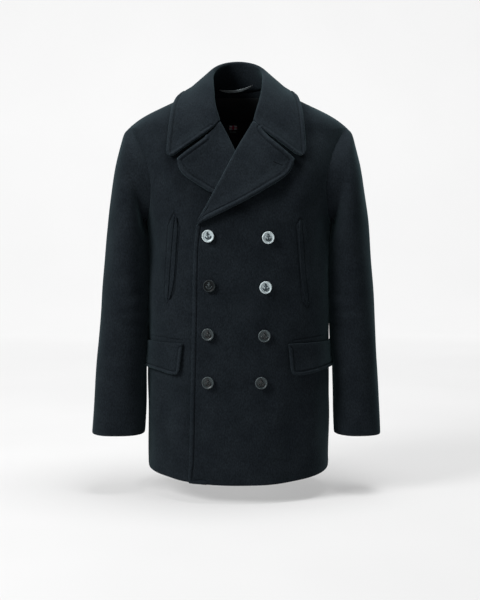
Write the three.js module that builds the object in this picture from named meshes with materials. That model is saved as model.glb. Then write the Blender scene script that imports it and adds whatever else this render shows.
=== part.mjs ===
// A double-breasted pea coat, filled out as it hangs on a wearer's shoulders.
// Millimetres, +Z up. The front faces -Y and the wearer's left is +X.
// The origin is the middle of the neck hole, level with the tops of the shoulder seams.
import * as THREE from 'three';

// Driving sizes
const CLOTH = 3.0; // one layer of heavy melton wool
const TURNED = 4.5; // collar and lapels, two layers pressed together
const FLAP = 4.0; // pocket flaps, two layers
const JETTING = 2.0; // the lips of the upright pockets
const LINING = 1.0;
const LABEL = 0.8;
const SEAM = 0.3; // gap between two pieces that are sewn edge to edge
const REST = 0.4; // gap between a piece and the one that it lies on

const HEM_SIDE = -818;
const HEM_FRONT = -834;
const BREAK = -305; // where the front edge turns back into the lapel
const FRONT_CENTRE = -4.5; // the two fronts mirror each other about this line
const GORGE_CENTRE = -2.6; // which drifts back towards the middle at the neck
const EDGE_TOP = -88.5; // the overlapping front edge just below the break
const EDGE_HEM = -100; // and at the hem
const UNDERARM = -300;
const SHOULDER = -95; // the tip of the shoulder
const NECK = -8; // the side of the neck hole
const NAPE = -14; // the back of the neck hole
const ARMHOLE_FRONT = 34.5; // how far the armhole curves in, in degrees round the body
const ARMHOLE_BACK = 26;

// Steps in the meshes of the cloth
const ROWS_BODY = 13; // hem to underarm
const ROWS_ARMHOLE = 12; // underarm to shoulder tip
const ROWS_SHOULDER = 5; // shoulder tip to neck
const COLUMNS_FRONT = 12;
const COLUMNS_BACK = 11;
const ROWS_LAPEL = 12;
const STEPS_COLLAR = 2; // meshes between two stations of the collar
const SEAM_FRONT_STEP = 10; // the sleeve's front seam, counted round from the shoulder tip
const SEAM_BACK_STEP = 17;

// Rings round the body, from the hem up. side is half the width, front and back are the reach
// from the side points, sideY is where those lie, and square is 2 on an ellipse and more on a squarer ring.
const BODY = [
  { z: -830, side: 192, front: 152, back: 139, sideY: 0, square: 2.35 },
  { z: -700, side: 192, front: 149, back: 134, sideY: 0, square: 2.35 },
  { z: -600, side: 191.5, front: 147, back: 127, sideY: 0, square: 2.35 },
  { z: -500, side: 191, front: 146, back: 119, sideY: 0, square: 2.35 },
  { z: -400, side: 191, front: 146, back: 119, sideY: 0, square: 2.3 },
  { z: -300, side: 193, front: 144, back: 127, sideY: 0, square: 2.3 },
  { z: -250, side: 204, front: 140, back: 129, sideY: 1, square: 2.25 },
  { z: -200, side: 216, front: 132, back: 127, sideY: 2, square: 2.2 },
  { z: -150, side: 226, front: 120, back: 121, sideY: 4, square: 2.15 },
  { z: -110, side: 231.5, front: 106, back: 113, sideY: 6, square: 2.1 },
  { z: -95, side: 230, front: 102, back: 110, sideY: 6, square: 2.1 },
  { z: -80, side: 214, front: 96, back: 104, sideY: 7, square: 2.05 },
  { z: -60, side: 177, front: 87, back: 96, sideY: 8, square: 2 },
  { z: -42, side: 137, front: 77, back: 89, sideY: 8, square: 2 },
  { z: -22, side: 98, front: 64, back: 80, sideY: 8, square: 2 },
  { z: -8, side: 76, front: 53, back: 71, sideY: 8, square: 2 },
  { z: 15, side: 46, front: 38, back: 52, sideY: 8, square: 2 },
  { z: 70, side: 30, front: 26, back: 34, sideY: 8, square: 2 },
];

// Rings of a sleeve, from the armhole down: the outer and inner lines seen from the front,
// half the depth from front to back, and how far forward the ring's middle lies.
const SLEEVE = [
  { outX: 242, outZ: -110, inX: 195.5, inZ: -304, depth: 80, forward: -1 },
  { outX: 250, outZ: -138, inX: 195, inZ: -310, depth: 83, forward: 0 },
  { outX: 260, outZ: -176, inX: 193, inZ: -319, depth: 84, forward: 2 },
  { outX: 265, outZ: -216, inX: 191, inZ: -333, depth: 83, forward: 4 },
  { outX: 269.5, outZ: -264, inX: 190, inZ: -354, depth: 81, forward: 6 },
  { outX: 275.5, outZ: -316, inX: 189, inZ: -384, depth: 78, forward: 8 },
  { outX: 280, outZ: -368, inX: 188.5, inZ: -421, depth: 75, forward: 10 },
  { outX: 283.5, outZ: -420, inX: 189, inZ: -460, depth: 72, forward: 12 },
  { outX: 286, outZ: -470, inX: 190.5, inZ: -500, depth: 69, forward: 14 },
  { outX: 289.5, outZ: -520, inX: 194, inZ: -541, depth: 66, forward: 17 },
  { outX: 291.5, outZ: -568, inX: 198, inZ: -582, depth: 62, forward: 20 },
  { outX: 293.5, outZ: -616, inX: 200.5, inZ: -624, depth: 58, forward: 24 },
  { outX: 296.5, outZ: -662, inX: 201.5, inZ: -666, depth: 54, forward: 28 },
  { outX: 298.5, outZ: -704, inX: 202.5, inZ: -706, depth: 51, forward: 32 },
  { outX: 299.5, outZ: -735, inX: 203.5, inZ: -735, depth: 49, forward: 35 },
  { outX: 300, outZ: -745, inX: 204, inZ: -745, depth: 48.5, forward: 36 },
];
const SLEEVE_SQUARE = 2.25;
const SLEEVE_CLEARANCE = { top: 4.2, low: 9.5, from: -470, to: -530 }; // from the body, and past the flap
const SLEEVE_HEAD = 2.5; // the sleeve stands this proud just past the shoulder's tip
const SLEEVE_SPREAD = { left: 0, right: 8 }; // each cuff is this much wider on its outer side

// The roll line, where the lapel turns, and the lapel's free edge from the break to its tip,
// both on the wearer's left, as seen from the front.
const ROLL_LINE = [
  { x: -83, z: -302 },
  { x: -49, z: -239 },
  { x: -21, z: -185 },
  { x: 6, z: -135 },
  { x: 31, z: -92 },
];
const LAPEL_EDGE = [
  { x: -77, z: -302 },
  { x: -36, z: -281.5 },
  { x: 8, z: -259.5 },
  { x: 60, z: -228.5 },
  { x: 99, z: -201 },
  { x: 111, z: -172.5 },
];
const GORGE_START = ROLL_LINE[ROLL_LINE.length - 1]; // the collar's seam to the lapel starts at the roll line
const GORGE = { x: 47, z: -113.5 }; // it ends here, and the notch opens
const NOTCH = 6; // the notch is this wide, and the lapel's top edge is this much lower than the collar's
const GORGE_GAP = 0.45; // the collar and the lapel are each drawn in this much at their seam
const LAPEL_LIFT = 3.5; // the free edge stands off the chest
const UNDERLAP_SLOPE = 100; // over this width the other front sinks below the overlapping one

// Section through the turn of a lapel: across from the roll line, and out from the front's face.
const TURN = [
  { across: 2.25, out: -2.9 },
  { across: 2.25, out: -1.6 },
  { across: 2.6, out: 0.4 },
  { across: 3.6, out: 1.8 },
  { across: 5.0, out: 2.6 },
  { across: 7.0, out: 2.9 },
];
const LEAF = TURN[TURN.length - 1]; // past here the leaf of the lapel or the collar lies flat
const TURN_NARROW = 12; // a lapel narrower than this turns more tightly
const TURN_SET_BACK = 6.4; // the front's own edge lies this far inside the roll line

// Stations round the collar, from the gorge to the middle of the back, on the wearer's left:
// the seam at the neck, the fold, and the free edge, which lies on the body. An angle goes round
// the body, for a point on the shoulder or the back. At the gorge only the tip is given, because
// the seam and the fold there follow the lapel's.
const COLLAR = [
  { edgeX: 132, edgeZ: -177 },
  { seamX: 46, seamZ: -66, foldX: 44.5, foldY: -87, foldZ: -60, edgeX: 133, edgeZ: -134 },
  { seamX: 57, seamZ: -41, foldX: 52, foldY: -60, foldZ: -24, edgeX: 132, edgeZ: -95 },
  { seamX: 67, seamZ: -22, foldX: 54.5, foldY: -26, foldZ: 3, edgeX: 127, edgeZ: -63 },
  { seamAngle: 90, seamZ: -8, foldX: 53.5, foldY: 8, foldZ: 22, edgeAngle: 90, edgeZ: -31 },
  { seamAngle: 120, seamZ: -9, foldX: 44, foldY: 34, foldZ: 36, edgeAngle: 124, edgeZ: -42 },
  { seamAngle: 150, seamZ: -12, foldX: 26, foldY: 52, foldZ: 46, edgeAngle: 154, edgeZ: -43 },
  { seamAngle: 180, seamZ: -14, foldX: 0, foldY: 58, foldZ: 50, edgeAngle: 180, edgeZ: -40 },
];
const COLLAR_ROLL = 3.6; // radius of the fold, at the middle of the wall
const COLLAR_ROLL_STEPS = [0.35, 0.68]; // mesh lines on the fold, as shares of its turn
const STAND_STEP = 0.6; // and on the stand, as a share of its height
const COLLAR_BELLY = 1; // the leaf bows out between the fold and the edge
const COLLAR_REST = 4.0; // middle of the collar's wall above the body
const STAND_RISE = 3.2; // the stand starts this far inside the neck seam

// Buttons in two columns on the overlapping front
const BUTTON = { radius: 12.9, height: 4.2, rim: 1.1, shankRadius: 3.5, shank: 2.2, sides: 16 };
const BUTTON_GAP = 0.6;
const BUTTON_ROWS = [
  { row: 1, outer: { x: -59, z: -327 }, inner: { x: 60, z: -330 } },
  { row: 2, outer: { x: -57, z: -427 }, inner: { x: 55, z: -430 } },
  { row: 3, outer: { x: -60, z: -525 }, inner: { x: 53, z: -528 } },
  { row: 4, outer: { x: -60, z: -623 }, inner: { x: 46.5, z: -623 } },
];

// Upright pockets for the hands, and flaps over the hip pockets
const HAND_POCKETS = [
  { name: 'right', topX: -129.5, topZ: -288, lowX: -143, lowZ: -455 },
  { name: 'left', topX: 126.5, topZ: -295, lowX: 141.5, lowZ: -463 },
];
const LIP = { width: 8.2, slit: 1.2, taper: 0.65 }; // the lips narrow towards both ends
const FLAPS = [
  { name: 'right', side: -1, topX: 112, lowX: 117.5 },
  { name: 'left', side: 1, topX: 101, lowX: 107 },
];
const FLAP_TOP = -545;
const FLAP_LOW = -610;
const FLAP_END = 88; // degrees round the body
const FLAP_LIFT = 1.6;
const FLAP_REST = 0.7;

// Inside the back
const LINING_SPAN = { from: 112, to: 248, top: -22, low: -300 };
const LINING_REST = 2.7;
const LABEL_BOX = { from: -40, to: 22, top: -74, low: -132 };
const LABEL_REST = 1.1;
const LOOP = { from: 0.571, to: 0.414, fromZ: 7, toZ: -3, sag: 5, bow: 5, width: 7, thick: 1.8 };

// Soft folds in the body's cloth: the middle, half the width across and along, the lean of the
// long side from upright in degrees, and the depth, which is negative in a trough.
const FOLDS = [
  { x: 150, z: -330, across: 16, along: 90, lean: -20, depth: -3.0 },
  { x: -150, z: -330, across: 16, along: 90, lean: 20, depth: -3.0 },
  { x: 172, z: -470, across: 13, along: 110, lean: -4, depth: 2.0 },
  { x: -172, z: -470, across: 13, along: 110, lean: 4, depth: 2.0 },
  { x: 128, z: -720, across: 22, along: 120, lean: 3, depth: -3.0 },
  { x: -140, z: -720, across: 20, along: 110, lean: -4, depth: -2.6 },
  { x: 70, z: -742, across: 26, along: 110, lean: -2, depth: 2.2 },
];
const BACK_FOLDS = [
  { x: 120, z: -360, across: 18, along: 130, lean: -16, depth: -3.6 },
  { x: -120, z: -360, across: 18, along: 130, lean: 16, depth: -3.6 },
  { x: 0, z: -620, across: 24, along: 170, lean: 0, depth: -3.0 },
  { x: 84, z: -680, across: 26, along: 150, lean: 3, depth: 3.0 },
  { x: -84, z: -680, across: 26, along: 150, lean: -3, depth: 3.0 },
];
// Folds round a sleeve: how far down it lies, degrees round from the top towards the front,
// and the reach along the sleeve and round it.
const SLEEVE_FOLDS = [
  { z: -478, turn: 128, along: 16, round: 45, depth: -2.4 },
  { z: -532, turn: 116, along: 18, round: 45, depth: -2.0 },
  { z: -330, turn: 60, along: 80, round: 26, depth: -2.0 },
  { z: -360, turn: 284, along: 60, round: 24, depth: -3.0 },
  { z: -450, turn: 262, along: 90, round: 22, depth: 2.6 },
];

const { clamp, degToRad, lerp, smoothstep } = THREE.MathUtils;
const vector = (x, y, z) => new THREE.Vector3(x, y, z);
const power = (value, exponent) => Math.sign(value) * Math.abs(value) ** exponent;

// A named column of a table at a place between its rows, on a smooth curve that never overshoots.
function between(table, place, where, column) {
  const last = table.length - 1;
  const at = clamp(where, table[0][place], table[last][place]);
  let i = 0;
  while (i < last - 1 && table[i + 1][place] < at) i += 1;
  const slope = (k) => (k < 0 || k >= last ? null
    : (table[k + 1][column] - table[k][column]) / (table[k + 1][place] - table[k][place]));
  const tangent = (k) => {
    const before = slope(k - 1) ?? slope(k);
    const after = slope(k) ?? slope(k - 1);
    return before * after <= 0 ? 0 : (2 * before * after) / (before + after);
  };
  const span = table[i + 1][place] - table[i][place];
  const t = (at - table[i][place]) / span;
  const [a, b] = [table[i][column], table[i + 1][column]];
  return a * (1 + 2 * t) * (1 - t) ** 2 + b * t * t * (3 - 2 * t)
    + span * (tangent(i) * t * (1 - t) ** 2 - tangent(i + 1) * t * t * (1 - t));
}

const ring = (z) => Object.fromEntries(['side', 'front', 'back', 'sideY', 'square']
  .map((column) => [column, between(BODY, 'z', z, column)]));

// How far out a point lies: 1 on the body's surface.
function level(p) {
  const r = ring(p.z);
  const reach = p.y < r.sideY ? r.front : r.back;
  return (Math.abs(p.x / r.side) ** r.square
    + Math.abs((p.y - r.sideY) / reach) ** r.square) ** (1 / r.square);
}

function slopeOut(p) {
  const h = 0.4;
  const along = (axis) => {
    const [ahead, behind] = [p.clone(), p.clone()];
    ahead[axis] += h;
    behind[axis] -= h;
    return (level(ahead) - level(behind)) / (2 * h);
  };
  return vector(along('x'), along('y'), along('z'));
}

// A point on the body: angle 0 is the middle of the front and 180 the middle of the back.
function bodyPoint(angle, z) {
  const r = ring(z);
  const [s, c] = [Math.sin(degToRad(angle)), Math.cos(degToRad(angle))];
  const depth = power(c, 2 / r.square) * (c > 0 ? r.front : r.back);
  return vector(r.side * power(s, 2 / r.square), r.sideY - depth, z);
}

// The angle round the body of a point seen from the front at x.
function angleAt(x, z) {
  const r = ring(z);
  const share = clamp(Math.abs(x / r.side), 0, 1) ** (r.square / 2);
  return (Math.sign(x) * Math.asin(share) * 180) / Math.PI;
}

function foldHeight(folds, x, z) {
  return folds.reduce((sum, f) => {
    const lean = degToRad(f.lean);
    const across = ((x - f.x) * Math.cos(lean) + (z - f.z) * Math.sin(lean)) / f.across;
    const along = ((z - f.z) * Math.cos(lean) - (x - f.x) * Math.sin(lean)) / f.along;
    return sum + f.depth * Math.exp(-across * across - along * along);
  }, 0);
}

// A surface point with its outward direction, moved out from the body.
function onBody(angle, z, out = 0) {
  const p = bodyPoint(angle, z);
  const n = slopeOut(p).normalize();
  const folds = Math.abs(angle) < 90 ? FOLDS : BACK_FOLDS;
  const quiet = Math.abs(Math.cos(degToRad(angle))) ** 0.5;
  const height = out + foldHeight(folds, p.x, z) * quiet;
  return { p: p.addScaledVector(n, height), n };
}

const onFront = (x, z, out = 0) => onBody(angleAt(x, z), z, out);

// Pushes a point out until it is at least that far from the body.
function clearOfBody(p, least) {
  for (let i = 0; i < 4; i += 1) {
    const slope = slopeOut(p);
    const off = (level(p) - 1) / slope.length();
    if (off < least) p.addScaledVector(slope.normalize(), least - off);
  }
  return p;
}

// The edge of the overlapping front: upright below the break, the roll line above it.
const rollX = (z) => between(ROLL_LINE, 'z', z, 'x');
function frontEdgeX(z) {
  if (z > BREAK) return rollX(z);
  const ease = Math.exp((z - BREAK) / 12);
  return lerp(EDGE_TOP, EDGE_HEM, (BREAK - z) / (BREAK - HEM_FRONT)) + ease * (ROLL_LINE[0].x - EDGE_TOP);
}

// The overlapping front rises over the lapel below it.
function leftFrontOut(x, z) {
  const rise = 3.5;
  return rise * smoothstep(z, -350, -290) * (1 - smoothstep(z, -160, -105)) * (1 - smoothstep(x, 40, 125));
}

// The other front passes under the edge, and further under where its own lapel lies between.
function rightFrontOut(x, z) {
  const under = smoothstep(x, frontEdgeX(z) - UNDERLAP_SLOPE, frontEdgeX(z) - 4);
  const room = 4.2 + 3.2 * smoothstep(z, -345, -300);
  return -under * room;
}
const frontOut = (side, x, z) => (side > 0 ? leftFrontOut(x, z) : rightFrontOut(x, z));
// The fronts mirror about a line that drifts back to the middle at the neck.
const centreAt = (z) => lerp(FRONT_CENTRE, GORGE_CENTRE, smoothstep(z, -170, -110))
  * (1 - smoothstep(z, -60, -20));
const mirrored = (side, x, z) => (side > 0 ? x : 2 * centreAt(z) - x);

// A closed wall between a grid of points moved out along their directions and the same grid moved in.
function wall(grid, outer, inner) {
  const rows = grid.length;
  const columns = grid[0].length;
  const points = [outer, inner].flatMap((off) => grid.flat()
    .map(({ p, n }) => p.clone().addScaledVector(n, off)));
  const at = (layer, i, j) => layer * rows * columns + i * columns + j;
  const faces = [];
  const quad = (a, b, c, d) => faces.push([a, b, c], [a, c, d]);
  for (let i = 0; i < rows - 1; i += 1) {
    for (let j = 0; j < columns - 1; j += 1) {
      quad(at(0, i, j), at(0, i, j + 1), at(0, i + 1, j + 1), at(0, i + 1, j));
      quad(at(1, i, j), at(1, i + 1, j), at(1, i + 1, j + 1), at(1, i, j + 1));
    }
  }
  for (let j = 0; j < columns - 1; j += 1) {
    quad(at(0, 0, j), at(1, 0, j), at(1, 0, j + 1), at(0, 0, j + 1));
    quad(at(0, rows - 1, j), at(0, rows - 1, j + 1), at(1, rows - 1, j + 1), at(1, rows - 1, j));
  }
  for (let i = 0; i < rows - 1; i += 1) {
    quad(at(0, i, 0), at(0, i + 1, 0), at(1, i + 1, 0), at(1, i, 0));
    quad(at(0, i, columns - 1), at(1, i, columns - 1), at(1, i + 1, columns - 1), at(0, i + 1, columns - 1));
  }
  const volume = faces.reduce((sum, [a, b, c]) => sum
    + points[a].dot(points[b].clone().cross(points[c])), 0);
  const turned = volume < 0 ? faces.map(([a, b, c]) => [a, c, b]) : faces;
  const geometry = new THREE.BufferGeometry().setFromPoints(points);
  geometry.setIndex(turned.flat());
  geometry.computeVertexNormals();
  return geometry;
}

// Draws one side of a grid in, so that the piece stops short of the one it is sewn to.
function drawIn(grid, side, by = SEAM / 2) {
  const last = grid.length - 1;
  const end = grid[0].length - 1;
  const move = (node, next) => node.p.addScaledVector(next.p.clone().sub(node.p).normalize(), by);
  if (side === 'first') grid[0].forEach((node, j) => move(node, grid[1][j]));
  if (side === 'last') grid[last].forEach((node, j) => move(node, grid[last - 1][j]));
  if (side === 'start') grid.forEach((row) => move(row[0], row[1]));
  if (side === 'end') grid.forEach((row) => move(row[end], row[end - 1]));
  return grid;
}

// Directions across a grid of bare points, from the points round each one.
function withDirections(points, outward) {
  const [rows, columns] = [points.length, points[0].length];
  return points.map((row, i) => row.map((p, j) => {
    const down = points[Math.min(i + 1, rows - 1)][j].clone().sub(points[Math.max(i - 1, 0)][j]);
    const across = row[Math.min(j + 1, columns - 1)].clone().sub(row[Math.max(j - 1, 0)]);
    return { p, n: down.cross(across).normalize().multiplyScalar(outward) };
  }));
}

// Rounds the corner of a grid, towards the point that lies one step in from it.
function roundCorner(grid, row, column, by) {
  const inner = grid[row === 0 ? 1 : row - 1][column === 0 ? 1 : column - 1];
  grid[row][column].p.lerp(inner.p, by);
}

const steps = (count) => Array.from({ length: count + 1 }, (_, i) => i / count);
const curve = (rows) => new THREE.CatmullRomCurve3(rows.map(({ x, z }) => vector(x, 0, z)), false, 'centripetal');

// The armhole, as an angle round the body and a height. turn is 0 at the shoulder tip and 180 under the arm.
function armhole(turn, reach) {
  const [s, c] = [Math.sin(degToRad(turn)), Math.cos(degToRad(turn))];
  return { angle: 90 - reach * s, z: lerp(UNDERARM, SHOULDER, (1 + c) / 2) };
}

// The side of a front or back: side seam, armhole and shoulder seam, from the hem up.
function sideLine(reach) {
  const seam = steps(ROWS_BODY).map((t) => ({ angle: 90, z: lerp(HEM_SIDE, UNDERARM, t) }));
  const hole = steps(ROWS_ARMHOLE).slice(1).map((t) => armhole(180 * (1 - t), reach));
  const shoulder = steps(ROWS_SHOULDER).slice(1).map((t) => ({ angle: 90, z: lerp(SHOULDER, NECK, t) }));
  return [...seam, ...hole, ...shoulder];
}

// The edge of the wearer's left front: its free edge, then just inside the roll line to the gorge.
function leftFrontEdge() {
  const below = steps(ROWS_BODY).map((t) => lerp(HEM_FRONT, BREAK, t)).map((z) => ({ x: frontEdgeX(z), z }));
  const roll = curve(ROLL_LINE);
  const above = steps(ROWS_ARMHOLE + ROWS_SHOULDER).slice(1).map((t) => {
    const p = roll.getPoint(t);
    const along = roll.getTangent(t);
    const back = TURN_SET_BACK * smoothstep(t, 0, 0.06);
    return { x: p.x + back * along.z, z: p.z - back * along.x };
  });
  return [...below, ...above];
}

// A front: rows run from its edge to its side, and bend near the top into the neck seam.
function frontGrid(side) {
  const edge = leftFrontEdge().map(({ x, z }) => ({ x: mirrored(side, x, z), z }));
  const line = sideLine(ARMHOLE_FRONT);
  const last = line.length - 1;
  const bend = curve([edge[last], ...[1, 2, 3].map((i) => COLLAR[i]).map((row) => ({
    x: mirrored(side, row.seamX, row.seamZ), z: row.seamZ,
  })), { x: side * ring(NECK).side, z: NECK }]);
  return line.map(({ angle, z }, i) => {
    const start = { angle: angleAt(edge[i].x, edge[i].z), z: edge[i].z };
    const share = smoothstep(i, last - 9, last);
    return steps(COLUMNS_FRONT).map((u) => {
      const seam = bend.getPoint(u);
      const straight = { angle: lerp(start.angle, side * angle, u), z: lerp(start.z, z, u) };
      const hem = lerp(HEM_SIDE, HEM_FRONT, Math.cos(degToRad(straight.angle)) ** 2);
      straight.z += (hem - lerp(HEM_FRONT, HEM_SIDE, u)) * (1 - smoothstep(i, 0, 8));
      const seamAngle = u === 1 ? side * 90 : angleAt(seam.x, seam.z);
      const first = { angle: angleAt(edge[last].x, edge[last].z), z: edge[last].z };
      const drift = {
        angle: seamAngle - lerp(first.angle, side * 90, u),
        z: seam.z - lerp(first.z, NECK, u),
      };
      const place = { angle: straight.angle + share * drift.angle, z: straight.z + share * drift.z };
      const x = bodyPoint(place.angle, place.z).x;
      return onBody(place.angle, place.z, frontOut(side, x, place.z));
    });
  });
}

// The back, from the side on the wearer's left round to the other.
function backGrid() {
  const line = sideLine(ARMHOLE_BACK);
  const last = line.length - 1;
  const middle = [
    ...steps(ROWS_BODY).map((t) => lerp(HEM_SIDE, UNDERARM, t)),
    ...steps(ROWS_ARMHOLE).slice(1).map((t) => lerp(UNDERARM, SHOULDER - 12, t)),
    ...steps(ROWS_SHOULDER).slice(1).map((t) => lerp(SHOULDER - 12, NAPE, t)),
  ];
  return line.map(({ angle, z }, i) => steps(2 * COLUMNS_BACK).map((t) => {
    const across = 1 - 2 * t;
    const u = Math.abs(across);
    const height = i === last ? (NAPE - NECK) * (1 - u) ** 2 + NECK : lerp(middle[i], z, u);
    return onBody(180 - across * angle, height);
  }));
}

// Both sleeves are set into the armhole: the first ring is its edge, the rest come from the table.
function sleeveGrid(side, spread) {
  const count = 2 * ROWS_ARMHOLE;
  const turns = steps(count).slice(0, count).map((t) => 360 * t);
  const edge = turns.map((turn) => {
    const front = turn <= 180;
    const place = armhole(turn <= 180 ? turn : 360 - turn, front ? ARMHOLE_FRONT : ARMHOLE_BACK);
    return onBody(front ? place.angle : 180 - place.angle, place.z);
  });
  const rings = SLEEVE.map((row) => turns.map((turn) => {
    const [s, c] = [Math.sin(degToRad(turn)), Math.cos(degToRad(turn))].map((v) => power(v, 2 / SLEEVE_SQUARE));
    const out = spread * smoothstep(-row.outZ, 350, 750);
    const p = vector(
      lerp(row.inX, row.outX + out, (1 + c) / 2),
      -row.forward - row.depth * s,
      lerp(row.inZ, row.outZ, (1 + c) / 2),
    );
    const around = (turn2) => ((turn - turn2 + 540) % 360) - 180;
    const fold = SLEEVE_FOLDS.reduce((sum, f) => sum
      + f.depth * Math.exp(-(((p.z - f.z) / f.along) ** 2) - (around(f.turn) / f.round) ** 2), 0);
    const middle = vector((row.inX + row.outX + out) / 2, -row.forward, (row.inZ + row.outZ) / 2);
    p.addScaledVector(p.clone().sub(middle).normalize(), fold);
    const { top, low, from, to } = SLEEVE_CLEARANCE;
    return p.z < UNDERARM ? clearOfBody(p, lerp(top, low, smoothstep(-p.z, -from, -to))) : p;
  }));
  const head = turns.map((turn, j) => edge[j].p.clone().lerp(rings[0][j], 0.5)
    .addScaledVector(edge[j].n, (SLEEVE_HEAD * (1 + Math.cos(degToRad(turn)))) / 2));
  const points = [edge.map(({ p }) => p), head, ...rings];
  const grid = points.map((row, i) => row.map((p, j) => {
    const down = points[Math.min(i + 1, points.length - 1)][j].clone().sub(points[Math.max(i - 1, 0)][j]);
    const around = row[(j + 1) % count].clone().sub(row[(j + count - 1) % count]);
    const n = around.clone().cross(down).normalize();
    if (i > 0) return { p, n };
    const away = edge[j].n.clone().cross(around).normalize();
    return { p: p.clone().addScaledVector(away, SEAM), n: n.addScaledVector(away, -Math.max(0, n.dot(away))).normalize() };
  }));
  return grid.map((row) => row.map(({ p, n }) => ({
    p: vector(side * p.x, p.y, p.z), n: vector(side * n.x, n.y, n.z),
  })));
}

// Columns across a turned piece: the turn, then out to the gorge's end, then on to the free edge.
const GORGE_LENGTH = Math.hypot(GORGE.x - GORGE_START.x, GORGE.z - GORGE_START.z);
const LEAF_STEPS = 5;

function leafShares(start, gorge) {
  return [start + (gorge - start) / 2, gorge, ...steps(LEAF_STEPS).slice(1).map((t) => lerp(gorge, 1, t))];
}

const topLength = (tip) => GORGE_LENGTH + Math.hypot(tip.x - GORGE.x, tip.z - GORGE.z);

// The line of the lapel's top edge, or of the collar's lower one: along the gorge, then to the tip,
// dropping just past the gorge's end where the notch opens.
function notchLine(tip, share, drop) {
  const gorge = GORGE_LENGTH / topLength(tip);
  if (share < gorge) {
    const along = share / gorge;
    return { x: lerp(GORGE_START.x, GORGE.x, along), z: lerp(GORGE_START.z, GORGE.z, along) };
  }
  const past = (share - gorge) / (1 - gorge);
  return {
    x: lerp(GORGE.x, tip.x, past),
    z: lerp(GORGE.z, tip.z + drop, past) - drop * Math.min(1, past * LEAF_STEPS),
  };
}

function lapelGrid(side) {
  const [roll, free] = [curve(ROLL_LINE), curve(LAPEL_EDGE)];
  const tip = LAPEL_EDGE[LAPEL_EDGE.length - 1];
  const topWidth = topLength(tip);
  const points = steps(ROWS_LAPEL).map((t) => {
    const [from, to] = [roll.getPoint(t), free.getPoint(t)];
    const width = lerp(from.distanceTo(to), topWidth, smoothstep(t, 0.6, 1));
    const scale = Math.min(1, width / TURN_NARROW);
    const bend = smoothstep(t, 0.55, 1);
    const shares = [...TURN.map(({ across }) => (across * scale) / width),
      ...leafShares((LEAF.across * scale) / width, GORGE_LENGTH / topWidth)];
    return shares.map((share, k) => {
      const top = notchLine(tip, share, NOTCH);
      const x = lerp(from.x, to.x, share) + bend * (top.x - lerp(GORGE_START.x, tip.x, share));
      const z = lerp(from.z, to.z, share) + bend * (top.z - lerp(GORGE_START.z, tip.z, share));
      const placeX = mirrored(side, x, z);
      const loose = side > 0 ? 1 : 1 - smoothstep(placeX, frontEdgeX(z) - UNDERLAP_SLOPE, frontEdgeX(z) - 4);
      const out = k < TURN.length ? lerp(LEAF.out, TURN[k].out, smoothstep(t, 0.05, 0.2)) : LEAF.out;
      const lift = LAPEL_LIFT * loose * share * share;
      return onFront(placeX, z, frontOut(side, placeX, z) + out + lift).p;
    });
  });
  return withDirections(points, side);
}

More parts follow.
